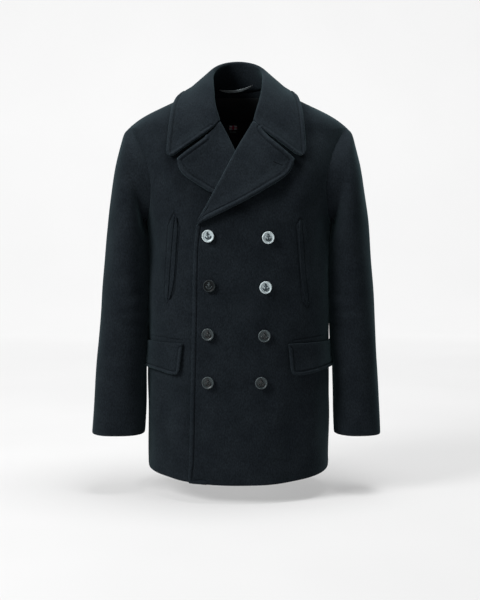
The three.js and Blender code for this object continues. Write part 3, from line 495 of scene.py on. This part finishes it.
def body_panel(node, free=None):
    """A front or the back, with its folds, and its swelled edge where free(place) holds."""
    piece = smoothed(form_of(node), node + "_cloth")
    refine_outside(piece)
    row = None
    if free:
        row = even(edge_row(node, free), step=0.006)
        swell(piece, row, FRONT_EDGE_BY, puff=0.0012, groove=0.0011, painted_light=0.5)
    points = as_points(piece.data)
    put_points(piece.data, points + body_drape(points))
    dressed(piece, melton, [node])
    return piece, row


def beside(points, views, reach=0.08):
    """How far each point lies from the nearest of some surfaces, and where it meets it."""
    near = np.full(len(points), np.inf)
    places = points.copy()
    for i, p in enumerate(points):
        for view in views:
            place, _, _, far = view.find_nearest(Vector(p), reach)
            if place is not None and far < near[i]:
                near[i], places[i] = far, place
    return near, places


left_front, left_edge = body_panel("front_left",
                                   lambda p: p.z < -0.300 and p.x < -0.07)
right_front, _ = body_panel("front_right")
back, _ = body_panel("back")
SEAM_GAP = 0.0006  # what lies this near to the next panel is drawn onto it by the seam


def seamed(points, onto):
    """Draws the edge of a panel onto the piece that it is sewn to, so no light comes through."""
    far, places = beside(points, [surface(onto)], reach=0.002)
    points[far < SEAM_GAP] = places[far < SEAM_GAP]
    return points


for front in (left_front, right_front):
    put_points(front.data, seamed(as_points(front.data), back))

# ------------------------------------------------------------- the topstitching
# Free edges are held flat by a row of lockstitches in navy thread, 7.5 to 9.5 mm in, so the
# edge swells between the stitches and the fold.
STITCH = dict(pitch=0.0034, length=0.0026, thick=0.0006)
thread, tree, body = shader("navy_thread", Roughness=0.8, Specular_IOR_Level=0.1)
THREAD_DARK, THREAD_LIGHT = (0.003, 0.004, 0.006, 1), (0.009, 0.011, 0.015, 1)
coloured(tree, body, noise(tree, 900), [(0.3, THREAD_DARK), (0.7, THREAD_LIGHT)])


def rigid(piece, material):
    """Gives a piece that isn't cloth its material and smooth shading, and hangs it on the root."""
    piece.data.materials.append(material)
    piece.data.polygons.foreach_set("use_smooth", [True] * len(piece.data.polygons))
    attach(piece, "root")


def stitches(name, rows, on, depth=-0.00005):
    """Rows of stitches that lie on a piece, as one object."""
    view = surface(on)
    form = bmesh.new()
    for row in rows:
        spots = even(row, STITCH["pitch"])
        for a, b in zip(spots[:-1], spots[1:]):
            middle = Vector((a + b) / 2)
            place, normal = view.find_nearest(middle)[:2]
            if normal.dot(Vector(body_outward(np.array([middle]))[0])) < 0:
                continue
            along = Vector(b - a).normalized()
            up = (normal - along * normal.dot(along)).normalized()
            side = up.cross(along)
            turn = Matrix((along, side, up)).transposed().to_4x4()
            half = STITCH["thick"] / 2
            size = Matrix.Diagonal((STITCH["length"] / 2, half, half, 1))
            bmesh.ops.create_uvsphere(form, u_segments=6, v_segments=4, radius=1,
                                      matrix=Matrix.Translation(place + up * depth) @ turn @ size)
    rigid(smoothed(form, name, 0), thread)


edge_seat = inside_row(left_front, even(left_edge, step=0.01), FRONT_EDGE_BY)
stitches("front_edge_stitches", [edge_seat], left_front)

# -------------------------------------------------------------------- sleeves
# Two-piece sleeves: a top sleeve and a narrower under sleeve, eased into the armhole with a
# little fullness over the shoulder. They hang straight, and crease softly inside the elbow.
SLEEVE_FULL = dict(left=0.0012, right=0.0036)  # how far the sleeves stand out all round
SLEEVE_OUT = dict(left=0.0030, right=0.0)  # how far they hang out from the body
# How far their inner sides fill towards the body, above the hip and below it.
SLEEVE_INNER = dict(left=(0.0045, 0.0010), right=(0.0072, 0.0025))
INNER_ROUND = 62  # degrees of the sleeve over which that fades
HIP = (-0.60, -0.55)  # the heights between which the one passes into the other
HEAD = (-0.30, -0.15)  # the sleeve hangs free below these heights, and keeps its cut above them
ARMPIT = -0.318  # above this height the sleeve is sewn to the body
ARMPIT_EASE = (-0.335, -0.295)  # between these heights it comes to move with the body
ARMHOLE_EASE = (0.006, 0.045)  # and over this distance from the body it stops doing so
SEWN_WITHIN = 0.0036  # what was cut this near to the body is the sleeve's sewn edge
SLEEVE_WAVES = [
    dict(height=0.0005, round=5, up=29, start=1),
    dict(height=0.0004, round=3, up=-43, start=0),
]
SLEEVE_LINE = [  # the middle of the sleeve on the wearer's left, from the armhole down
    dict(z=-0.110, x=0.222, y=0.0),
    dict(z=-0.200, x=0.228, y=-0.002),
    dict(z=-0.300, x=0.231, y=-0.006),
    dict(z=-0.420, x=0.236, y=-0.012),
    dict(z=-0.520, x=0.242, y=-0.017),
    dict(z=-0.620, x=0.247, y=-0.024),
    dict(z=-0.750, x=0.252, y=-0.036),
]
# Folds round a sleeve: the place down it and in degrees from its outside towards the front, the
# reach down and round, the lean, and how high each stands.
SLEEVE_FOLDS = [
    dict(z=-0.480, turn=122, down=0.010, round=46, lean=0.00018, height=-0.0030),
    dict(z=-0.512, turn=128, down=0.009, round=40, lean=-0.0001, height=-0.0026),
    dict(z=-0.448, turn=118, down=0.011, round=40, lean=0.00025, height=-0.0022),
    dict(z=-0.350, turn=58, down=0.090, round=16, lean=0, height=-0.0022),
    dict(z=-0.340, turn=92, down=0.080, round=15, lean=0, height=0.0016),
    dict(z=-0.640, turn=70, down=0.080, round=20, lean=0, height=-0.0018),
    dict(z=-0.300, turn=290, down=0.070, round=18, lean=0, height=-0.0034),
    dict(z=-0.320, turn=255, down=0.080, round=16, lean=0, height=0.0022),
    dict(z=-0.500, turn=300, down=0.013, round=40, lean=0.0002, height=-0.0030),
    dict(z=-0.540, turn=285, down=0.013, round=45, lean=-0.00015, height=-0.0026),
]


def sleeve_outward_on(side):
    """The way out of the sleeve on one side, 1 on the wearer's left."""
    def outward(points):
        levels = [row["z"] for row in SLEEVE_LINE][::-1]
        way = np.zeros_like(points)
        for axis, key, sign in ((0, "x", side), (1, "y", 1)):
            middle = np.interp(points[:, 2], levels, [row[key] for row in SLEEVE_LINE][::-1])
            way[:, axis] = points[:, axis] - sign * middle
        way[:, 2] = 0.05 * ease(points[:, 2], -0.19, -0.11)
        return way / np.maximum(np.linalg.norm(way, axis=1, keepdims=True), 1e-9)
    return outward


def sleeve_drape(points, side):
    """How far a sleeve's folds and fullness move each point."""
    way = sleeve_outward_on(side)(points)
    turn = np.degrees(np.arctan2(-way[:, 1], side * way[:, 0])) % 360
    total = np.zeros(len(points))
    for f in SLEEVE_FOLDS:
        round_by = (turn - f["turn"] + 180) % 360 - 180
        down = points[:, 2] - f["z"] - f["lean"] * round_by
        total += f["height"] * np.exp(-(down / f["down"]) ** 2 - (round_by / f["round"]) ** 2)
    z = points[:, 2]
    name = "left" if side > 0 else "right"
    total += waves(SLEEVE_WAVES, np.radians(turn), z, side)
    below = 1 - ease(z, *HEAD)
    moved = way * ((total + SLEEVE_FULL[name]) * below)[:, None]
    above, beneath = SLEEVE_INNER[name]
    inner = beneath + (above - beneath) * ease(z, *HIP)
    inner = inner * np.exp(-((turn - 180) / INNER_ROUND) ** 2)
    moved[:, 0] += side * (SLEEVE_OUT[name] - inner) * below
    return moved


def sewn(points, far, views, reach=0.016):
    """Draws a sleeve's edge, where it meets the armhole, onto the body's cloth, and eases the
    cloth behind it. far is how far each point lies from the body as it was cut."""
    rim = np.flatnonzero((far < SEWN_WITHIN) & (points[:, 2] > ARMPIT))
    _, places = beside(points[rim], views)
    pull = places - points[rim]
    near = np.flatnonzero((far < 2 * reach) & (points[:, 2] > ARMPIT - reach))
    gaps = [((points[rim] - points[i]) ** 2).sum(axis=1) for i in near]
    closest = np.array([np.argmin(row) for row in gaps])
    behind = np.sqrt(np.array([row.min() for row in gaps]))
    moved = points.copy()
    moved[near] += pull[closest] * (1 - ease(behind, 0.0, reach))[:, None]
    return moved


body_forms = []
for node in ("front_left", "front_right", "back"):
    form = form_of(node, rim=0)
    body_forms.append(BVHTree.FromBMesh(form))
    form.free()
body_cloth = [surface(piece) for piece in (left_front, right_front, back)]
for side, name in ((1, "left"), (-1, "right")):
    outward = sleeve_outward_on(side)
    for part, flat, area in (("top", (0.27, 0.66), 0.158), ("under", (0.13, 0.53), 0.0545)):
        node = f"sleeve_{part}_{name}"
        piece = smoothed(form_of(node), node + "_cloth")
        refine_outside(piece, outward)
        points = as_points(piece.data)
        far, _ = beside(points, body_forms)
        with_body = (1 - ease(far, *ARMHOLE_EASE)) * ease(points[:, 2], *ARMPIT_EASE)
        with_body = with_body[:, None]
        points = (points + sleeve_drape(points, side) * (1 - with_body)
                  + body_drape(points) * with_body)
        points = sewn(points, far, body_cloth)
        if part == "under":
            points = seamed(points, bpy.data.objects[f"sleeve_top_{name}_cloth"])
        put_points(piece.data, points)
        dressed(piece, melton, [node])

# --------------------------------------------------------- collar and lapels
# The collar is one piece, turned over its own stand, in two layers with the corners rounded.
# Each lapel is the top of its front, turned back along the roll line.
EDGE_BY = 0.0085  # how far in their edges are stitched
EDGE_PAINTED_SHADE = [  # painted shade on the fronts under their edges: how dark, and how far round the edge
    dict(dark=0.45, reach=0.008),
    dict(dark=0.28, reach=0.026),
]
COLLAR_PIECES = [
    dict(node="collar", flat=(0.60, 0.16), area=0.077, held="folded", least=75, lift=0.0040,
         free=lambda p: p.z < -0.02 and (abs(p.x + 0.002) > 0.048 or p.y > 0.055),
         tip=lambda p: abs(p.x) > 0.1 and p.z < -0.14, tip_radius=0.014),
    dict(node="lapel_left", flat=(0.12, 0.25), area=0.0194, held="folded", least=70, lift=0.0040,
         free=lambda p: p.x > -0.068 and (p.x > 0.045 or p.z < -0.19), tip=lambda p: p.x > 0.09,
         tip_radius=0.004),
    dict(node="lapel_right", flat=(0.12, 0.25), area=0.0187, held="folded", least=70, lift=0.0030,
         free=lambda p: p.x < 0.03 and (p.x < -0.055 or p.z < -0.19), tip=lambda p: p.x < -0.09,
         tip_radius=0.004),
]
for row in COLLAR_PIECES:
    node = row["node"]
    form = form_of(node, row["least"], tip=row["tip"], tip_radius=row["tip_radius"], rim=0.0)
    piece = smoothed(form, node + "_cloth")
    edge = even(edge_row(node, row["free"], least=50), step=0.005)
    refine_outside(piece, least=0.15)
    swell(piece, edge, EDGE_BY, puff=0.0013, groove=0.0012, lift=row["lift"], painted_light=0.8)
    points = as_points(piece.data)
    put_points(piece.data, points + body_drape(points))
    dressed(piece, melton, [node])
    stitches(node + "_stitches", [inside_row(piece, edge, EDGE_BY)], piece)
    # Painted shade on both fronts under each edge, deepest in the notches where collar and lapel
    # edges meet
    below = edge + body_drape(edge)
    for front in (left_front, right_front):
        far = away_from(as_points(front.data), below)
        add_painted_light(front, -sum(s["dark"] * np.exp(-(far / s["reach"]) ** 2) for s in EDGE_PAINTED_SHADE))

# ------------------------------------------------------------------ hip flaps
# A flap of two layers hangs over each hip pocket, topstitched round its edge, with its lower
# rear corner drawn up a little. A seam crosses the front just over it.
FLAP_EDGE_BY = 0.0075
FLAP_RISE = 0.009  # how far that corner is drawn up
FLAP_SEAM = dict(low=(0.112, -0.5385), high=(0.178, -0.5325))  # seen from the front: x and z


def rear_raised(points, side):
    """Raises a flap's lower edge towards the side seam, where the body turns away."""
    rise = FLAP_RISE * ease(side * points[:, 0], 0.12, 0.19) * ease(-points[:, 2], 0.55, 0.61)
    return points + np.outer(rise, (0, 0, 1))


def from_front(piece, start, end, count=12):
    """A row of points on a piece between two places seen from the front, each an x and a z."""
    view = surface(piece)
    spots = np.linspace(start, end, count)
    hits = [view.ray_cast(Vector((x, -0.3, z)), Vector((0, 1, 0)))[0] for x, z in spots]
    return np.array([h for h in hits if h is not None])


for name, side, area in (("left", 1, 0.0115), ("right", -1, 0.0106)):
    node = f"flap_{name}"
    piece = smoothed(form_of(node, tip=lambda p: p.z < -0.6, tip_radius=0.006), node + "_cloth")
    refine_outside(piece)
    edge = even(edge_row(node, lambda p: p.z < -0.548), step=0.005)
    swell(piece, edge, FLAP_EDGE_BY, puff=0.0011, groove=0.0011, lift=0.0015)
    points, edge = rear_raised(as_points(piece.data), side), rear_raised(edge, side)
    put_points(piece.data, points + body_drape(points))
    dressed(piece, melton, [node])
    stitches(node + "_stitches", [inside_row(piece, edge, FLAP_EDGE_BY)], piece)
    front = left_front if side > 0 else right_front
    ends = [(side * x, z) for x, z in (FLAP_SEAM["low"], FLAP_SEAM["high"])]
    # Painted shade along the seam over the flap
    pressed(front, [from_front(front, *ends)], groove=0.0009, width=0.0011, dark=0.6)

# --------------------------------------------------------------- hand pockets
# Each upright pocket is a slit between two narrow lips of melton, inside a stitched outline
# that ends in a point above and below.
for name, front in (("left", left_front), ("right", right_front)):
    for part in ("inner", "outer"):
        node = f"pocket_lip_{part}_{name}"
        piece = smoothed(form_of(node, rim=0.0005), node + "_cloth")
        points = as_points(piece.data)
        put_points(piece.data, points + body_drape(points))
        dressed(piece, melton, [node])
POCKET_OUTLINES = [  # seen from the front: top point, upper corner, then on round the outline
    dict(name="right", front=right_front,
         points=[(-0.1294, -0.277), (-0.1430, -0.305), (-0.1520, -0.447),
                 (-0.1470, -0.466), (-0.1294, -0.442), (-0.1177, -0.310)]),
    dict(name="left", front=left_front,
         points=[(0.1269, -0.2896), (0.1177, -0.305), (0.1309, -0.4596),
                 (0.1420, -0.475), (0.1497, -0.4596), (0.1360, -0.310)]),
]


def within(points, outline):
    """1 inside an outline seen from the front, and 0 outside it."""
    x, z = points[:, 0], points[:, 2]
    crossed = np.zeros(len(points), dtype=bool)
    for (ax, az), (bx, bz) in zip(outline, outline[1:] + outline[:1]):
        if az != bz:
            crossed ^= ((az > z) != (bz > z)) & (x < ax + (bx - ax) * (z - az) / (bz - az))
    return crossed * (points[:, 1] < 0)


for row in POCKET_OUTLINES:
    corners = row["points"] + row["points"][:1]
    runs = [from_front(row["front"], *ends) for ends in zip(corners[:-1], corners[1:])]
    # Painted shade along the stitched outline
    pressed(row["front"], runs, groove=0.0010, width=0.0012, puff=0.0012, dark=0.4,
            inside=lambda p, outline=row["points"]: within(p, outline))
    stitches(f"pocket_stitches_{row['name']}", runs, row["front"])

# ---------------------------------------------------------- lapel buttonhole
# One buttonhole near the tip of the left lapel: a slit bound with close stitches in navy thread.
HOLE = dict(start=(0.0712, -0.1776), end=(0.0895, -0.1848), side=0.0011)
lapel = bpy.data.objects["lapel_left_cloth"]
slit = from_front(lapel, HOLE["start"], HOLE["end"])
# Painted shade in the slit
pressed(lapel, [slit], groove=0.0009, width=0.0007, dark=0.8)
bound = [slit + np.array((0, 0, up)) for up in (HOLE["side"], -HOLE["side"])]
stitches("buttonhole_stitches", bound, lapel, depth=0.0001)

# -------------------------------------------------------------------- buttons
# Eight anchor buttons, 25 mm across: a dished face with a raised rim and a plain anchor in
# relief, metal coated, each tied on by a shank. Their one metal is painted in tones of light:
# a painted reflection on the upper ones, painted shade on the rest.
BUTTON_PROFILE = [  # radius and height over the cloth's side of the button
    (0.0020, 0.0000), (0.0034, 0.0003), (0.0034, 0.0021), (0.0095, 0.0023), (0.0117, 0.0028),
    (0.0125, 0.0039), (0.0125, 0.0049), (0.0120, 0.0060), (0.0111, 0.0063), (0.0104, 0.0059),
    (0.0099, 0.0051), (0.0070, 0.0049), (0.0030, 0.0053), (0.0, 0.0054),
]
FACE = 0.0052  # the height of the face that the relief stands on
RIM_FROM = 0.0101  # radius where the rim begins
BUTTON_TURN = dict(outer_1=8, inner_3=-6, outer_4=5)  # degrees on the thread, 2 for the others


def metal(name, face, rim, mark, rough, shine=0.35):
    """A button's metal in one painted tone of light: the dished face, the rim round it and the
    marks in relief.
    """
    material, tree, body = shader(name, Metallic=0.15, Specular_IOR_Level=shine,
                                  Coat_Weight=shine / 3, Coat_Roughness=0.3)
    bands = ramp(tree, painted(tree, "relief"), [(0.0, face), (0.5, rim), (1.0, mark)])
    worn = ramp(tree, noise(tree, 420, 3), [(0.35, grey(0.72)), (0.65, grey(1.15))])
    tree.links.new(mix(tree, 1.0, bands, worn, "MULTIPLY"), body.inputs["Base Color"])
    scuffs = ramp(tree, noise(tree, 260, 3), [(0.3, grey(rough - 0.08)), (0.7, grey(rough + 0.1))])
    tree.links.new(scuffs, body.inputs["Roughness"])
    bump(tree, body, noise(tree, 700, 3), 0.12, 0.0003)
    return material


# One metal in four painted tones: a painted reflection on the brightest, painted shade on the
# darker ones
lit_metal_painted = metal("metal_painted_reflection", face=(0.44, 0.52, 0.54, 1), rim=(0.50, 0.58, 0.60, 1),
               mark=(0.025, 0.04, 0.05, 1), rough=0.45)
dim_metal_painted = metal("metal_painted_dim", face=(0.021, 0.030, 0.033, 1), rim=(0.039, 0.052, 0.056, 1),
                 mark=(0.005, 0.006, 0.007, 1), rough=0.45)
dark_metal_painted = metal("metal_painted_shade", face=(0.001, 0.002, 0.003, 1), rim=(0.012, 0.017, 0.019, 1),
                  mark=(0.030, 0.040, 0.043, 1), rough=0.62, shine=0.18)
metal_painted_half_dim = metal("metal_painted_half_dim", face=(0.038, 0.052, 0.056, 1), rim=(0.055, 0.072, 0.077, 1),
                      mark=(0.006, 0.009, 0.010, 1), rough=0.42)
# Which painted tone of light each button gets
BUTTON_PAINTED_TONE = {
    "outer_1": (lit_metal_painted, "button_bright"), "inner_1": (lit_metal_painted, "button_bright"),
    "outer_2": (dark_metal_painted, "button_dark"), "inner_2": (lit_metal_painted, "button_bright"),
    "outer_3": (dim_metal_painted, "button_dark"), "inner_3": (metal_painted_half_dim, "button_dark"),
    "outer_4": (dim_metal_painted, "button_dark"), "inner_4": (dim_metal_painted, "button_dark"),
}


def bar(form, start, end, radius):
    """A round bar of the anchor, between two places on the face."""
    a, b = Vector((*start, FACE)), Vector((*end, FACE))
    turn = (b - a).to_track_quat("Z", "Y").to_matrix().to_4x4()
    bmesh.ops.create_cone(form, cap_ends=True, segments=8, radius1=radius, radius2=radius * 0.8,
                          depth=(b - a).length, matrix=Matrix.Translation((a + b) / 2) @ turn)


def hoop(form, middle, radius, thick, start, sweep, count):
    """A round bar bent round part of a circle."""
    place = Matrix.Translation((*middle, FACE)) @ Matrix.Rotation(start, 4, "Z")
    ring = bmesh.ops.create_circle(form, segments=8, radius=thick,
                                   matrix=place @ Matrix.Translation((radius, 0, 0))
                                   @ Matrix.Rotation(math.pi / 2, 4, "X"))["verts"]
    edges = list({e for v in ring for e in v.link_edges})
    full = abs(sweep) > 6.28
    bmesh.ops.spin(form, geom=ring + edges, cent=(*middle, FACE), axis=(0, 0, 1), angle=sweep,
                   steps=count, use_merge=full)


def button_form():
    """One button, lying on its back round the origin, with its anchor."""
    form = bmesh.new()
    points = [form.verts.new((r, 0, h)) for r, h in BUTTON_PROFILE]
    edges = [form.edges.new(pair) for pair in zip(points[:-1], points[1:])]
    bmesh.ops.spin(form, geom=points + edges, cent=(0, 0, 0), axis=(0, 0, 1), angle=2 * math.pi,
                   steps=40, use_merge=True)
    bmesh.ops.remove_doubles(form, verts=form.verts, dist=1e-6)
    low = [e for e in form.edges if len(e.link_faces) == 1]
    bmesh.ops.holes_fill(form, edges=low, sides=0)
    relief = form.verts.layers.float.new("relief")
    for v in form.verts:
        v[relief] = 0.5 if math.hypot(v.co.x, v.co.y) > RIM_FROM else 0.0
    plain = set(form.verts)
    # The anchor's ring, shank, stock, arms and two flukes.
    hoop(form, (0, 0.0058), 0.0014, 0.00095, 0, 2 * math.pi, 14)
    bar(form, (0, 0.0048), (0, -0.0056), 0.00155)
    bar(form, (-0.0038, 0.0026), (0.0038, 0.0026), 0.00125)
    hoop(form, (0, -0.0010), 0.0048, 0.00130, math.radians(200), math.radians(140), 12)
    bar(form, (-0.0030, -0.0048), (-0.0063, -0.0006), 0.0017)
    bar(form, (0.0030, -0.0048), (0.0063, -0.0006), 0.0017)
    for v in form.verts:
        if v not in plain:
            v[relief] = 1.0
    bmesh.ops.recalc_face_normals(form, faces=form.faces)
    return form


for key, (painted_tone, slot) in BUTTON_PAINTED_TONE.items():
    node = "button_" + key
    cad = as_points(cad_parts[node].data)
    middle = cad.mean(axis=0)
    axis = np.linalg.eigh(np.cov((cad - middle).T))[1][:, 0]
    axis *= -np.sign(axis[1])
    low = ((cad - middle) @ axis).min()
    seat = Vector(middle + axis * low) + Vector(body_drape(middle[None, :])[0])
    out = Vector(axis)
    side = Vector((0, 0, 1)).cross(out).normalized()
    up = out.cross(side)
    turn = Matrix((side, up, out)).transposed().to_4x4()
    lean = Matrix.Rotation(math.radians(BUTTON_TURN.get(key, 2)), 4, "Z")
    form = button_form()
    bmesh.ops.transform(form, matrix=Matrix.Translation(seat) @ turn @ lean, verts=form.verts)
    piece = smoothed(form, node + "_metal", 0)
    rigid(piece, painted_tone)
    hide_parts(node)

# ------------------------------------------------------- lining, label and loop
# Inside the back: a satin lining, a woven label with a small flag and a plain line, and a
# thick glossy loop to hang the coat by, sewn to the collar's stand.
satin, tree, body = shader("black_satin", Roughness=0.5, Specular_IOR_Level=0.2, Anisotropic=0.4)
SATIN_DARK, SATIN_LIGHT = (0.0024, 0.0034, 0.0042, 1), (0.0060, 0.0078, 0.0090, 1)
coloured(tree, body, noise(tree, 30, 2), [(0.3, SATIN_DARK), (0.7, SATIN_LIGHT)])
bump(tree, body, noise(tree, 1800, 1, (1, 1, 0.1)), 0.2, 0.0002)
piece = smoothed(form_of("lining_back", rim=0.0003), "lining_back_satin")
dressed(piece, satin, ["lining_back"])

woven, tree, body = shader("woven_label", Roughness=0.7, Specular_IOR_Level=0.2)
LABEL_DARK, LABEL_LIGHT = (0.003, 0.003, 0.004, 1), (0.008, 0.008, 0.010, 1)
coloured(tree, body, noise(tree, 700, 1, (1, 1, 4)), [(0.3, LABEL_DARK), (0.7, LABEL_LIGHT)])
piece = smoothed(form_of("label", rim=0.0002), "label_cloth")
dressed(piece, woven, ["label"])
view = surface(piece)
MOTIFS = [  # a small flag and a line, woven into the label
    dict(x=-0.0110, z=-0.0870, wide=0.0170, high=0.0095, thick=0.0008, dye=0.0),
    dict(x=-0.0110, z=-0.0870, wide=0.0170, high=0.0026, thick=0.0010, dye=1.0),
    dict(x=-0.0110, z=-0.0870, wide=0.0040, high=0.0095, thick=0.0010, dye=1.0),
    dict(x=-0.0115, z=-0.0960, wide=0.0140, high=0.0018, thick=0.0008, dye=0.5),
]
form = bmesh.new()
dye = form.verts.layers.float.new("dye")
for row in MOTIFS:
    place, normal, _, _ = view.ray_cast(Vector((row["x"], -0.1, row["z"])), Vector((0, 1, 0)))
    right = Vector((0, 0, 1)).cross(normal).normalized()
    turn = Matrix((right, normal.cross(right), normal)).transposed().to_4x4()
    size = Matrix.Diagonal((row["wide"], row["high"], row["thick"], 1))
    block = bmesh.ops.create_cube(form, size=1, matrix=Matrix.Translation(place) @ turn @ size)
    for v in block["verts"]:
        v[dye] = row["dye"]
motifs, tree, body = shader("woven_motifs", Roughness=0.7, Specular_IOR_Level=0.2)
YARNS = [(0.0, (0.46, 0.46, 0.47, 1)), (0.5, (0.14, 0.18, 0.17, 1)), (1.0, (0.42, 0.03, 0.08, 1))]
shade = ramp(tree, painted(tree, "dye"), YARNS)
weave = ramp(tree, noise(tree, 1400, 1, (1, 1, 3)), [(0.3, grey(0.75)), (0.7, grey(1.1))])
tree.links.new(mix(tree, 1.0, shade, weave, "MULTIPLY"), body.inputs["Base Color"])
piece = smoothed(form, "label_motifs", 0)
piece.data.materials.append(motifs)
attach(piece, "root")


def share_along(tree, axis, **ends):
    """A share that grows along one of the object's axes, between the ends given."""
    place = tree.nodes.new("ShaderNodeTexCoord")
    axes = tree.nodes.new("ShaderNodeSeparateXYZ")
    share = tree.nodes.new("ShaderNodeMapRange")
    for name, value in ends.items():
        share.inputs[name.replace("_", " ")].default_value = value
    tree.links.new(place.outputs["Object"], axes.inputs["Vector"])
    tree.links.new(axes.outputs[axis], share.inputs["Value"])
    return share.outputs["Result"]


glossy, tree, body = shader("glossy_cord", Roughness=0.35, Specular_IOR_Level=0.5)
# Painted highlight: the loop is bright in the middle and dark towards its ends, along its length
LOOP_PAINTED_HIGHLIGHT = [(0.0, (0.02, 0.025, 0.028, 1)), (0.35, (0.16, 0.19, 0.20, 1)),
               (0.55, (0.34, 0.40, 0.42, 1)), (0.75, (0.12, 0.14, 0.15, 1)),
               (1.0, (0.03, 0.035, 0.038, 1))]
coloured(tree, body, share_along(tree, "X", From_Min=-0.042, From_Max=0.042), LOOP_PAINTED_HIGHLIGHT)
piece = smoothed(form_of("hanger_loop", rim=0.0006), "hanger_loop_cloth")
LOOP_SLIM = dict(ends=0.25, middle=0.75, drop=0.0050)  # share of its width, and how far it sags
points = as_points(piece.data)
low, high = points[:, 0].min(), points[:, 0].max()
swelling = np.sin(np.pi * (points[:, 0] - low) / (high - low))
centre = np.polyval(np.polyfit(points[:, 0], points[:, 2], 2), points[:, 0])
share = LOOP_SLIM["ends"] + (LOOP_SLIM["middle"] - LOOP_SLIM["ends"]) * swelling
points[:, 2] = centre + (points[:, 2] - centre) * share - LOOP_SLIM["drop"]
put_points(piece.data, points)
dressed(piece, glossy, ["hanger_loop"])

# ------------------------------------------------------------------ the studio
# A pale sweep that runs from the floor up behind the coat, a broad soft light high on the
# viewer's left, a weaker one over the coat, and the camera at the photograph's height.
FLOOR = -0.872
SWEEP = dict(front=-7.0, foot=3.2, bend=1.2, high=6.0, half=8)  # it bends up from its foot
GLOW = dict(From_Min=0.0, From_Max=3.2, To_Min=0.415, To_Max=0.715)  # from the coat backwards
CAMERA = dict(place=(0.0043, -2.2, -0.315), down=3.9, lens=61.4)
AIM = (0, 0, -0.4)
LIGHTS = [
    dict(name="key", place=(-2.6, -1.7, 1.7), size=1.7, power=165),
    dict(name="top", place=(0.3, -0.1, 2.0), size=1.2, power=75),
]
sweep = bmesh.new()
foot, bend = SWEEP["foot"], SWEEP["bend"]
profile = [(SWEEP["front"], 0.0), (foot, 0.0)]
profile += [(foot + bend * math.sin(a), bend - bend * math.cos(a))
            for a in np.linspace(0.1, math.pi / 2, 14)]
profile += [(foot + bend, SWEEP["high"])]
points = [sweep.verts.new((-SWEEP["half"], y, FLOOR + z)) for y, z in profile]
edges = [sweep.edges.new(pair) for pair in zip(points[:-1], points[1:])]
moved = bmesh.ops.extrude_edge_only(sweep, edges=edges)["geom"]
bmesh.ops.translate(sweep, vec=(2 * SWEEP["half"], 0, 0),
                    verts=[v for v in moved if isinstance(v, bmesh.types.BMVert)])
bmesh.ops.recalc_face_normals(sweep, faces=sweep.faces)
if sum(f.normal.z for f in sweep.faces) < 0:
    bmesh.ops.reverse_faces(sweep, faces=sweep.faces)
paper, tree, body = shader("pale_paper", Roughness=0.95, Specular_IOR_Level=0.0,
                           Emission_Color=(1, 1, 1, 1))
coloured(tree, body, noise(tree, 2), [(0.3, grey(0.29)), (0.7, grey(0.31))])
tree.links.new(share_along(tree, "Y", **GLOW), body.inputs["Emission Strength"])
floor = smoothed(sweep, "floor", 0)
floor.data.materials.append(paper)
floor.data.polygons.foreach_set("use_smooth", [True] * len(floor.data.polygons))

scene = bpy.context.scene
world = bpy.data.worlds.new("studio")
scene.world = world
world.use_nodes = True
air = world.node_tree.nodes["Background"]
air.inputs["Color"].default_value = (0.97, 0.98, 1.0, 1)
air.inputs["Strength"].default_value = 0.11
for row in LIGHTS:
    data = bpy.data.lights.new(row["name"], "AREA")
    data.shape = "DISK"
    data.size = row["size"]
    data.energy = row["power"]
    lamp = bpy.data.objects.new(row["name"], data)
    lamp.location = row["place"]
    lamp.rotation_euler = (Vector(AIM) - lamp.location).to_track_quat("-Z", "Y").to_euler()
    scene.collection.objects.link(lamp)

view = bpy.data.cameras.new("camera")
view.lens = CAMERA["lens"]
view.sensor_width = 36
camera = bpy.data.objects.new("camera", view)
camera.location = CAMERA["place"]
camera.rotation_euler = (math.radians(90 - CAMERA["down"]), 0, 0)
scene.collection.objects.link(camera)
scene.camera = camera
scene.view_settings.view_transform = "Standard"
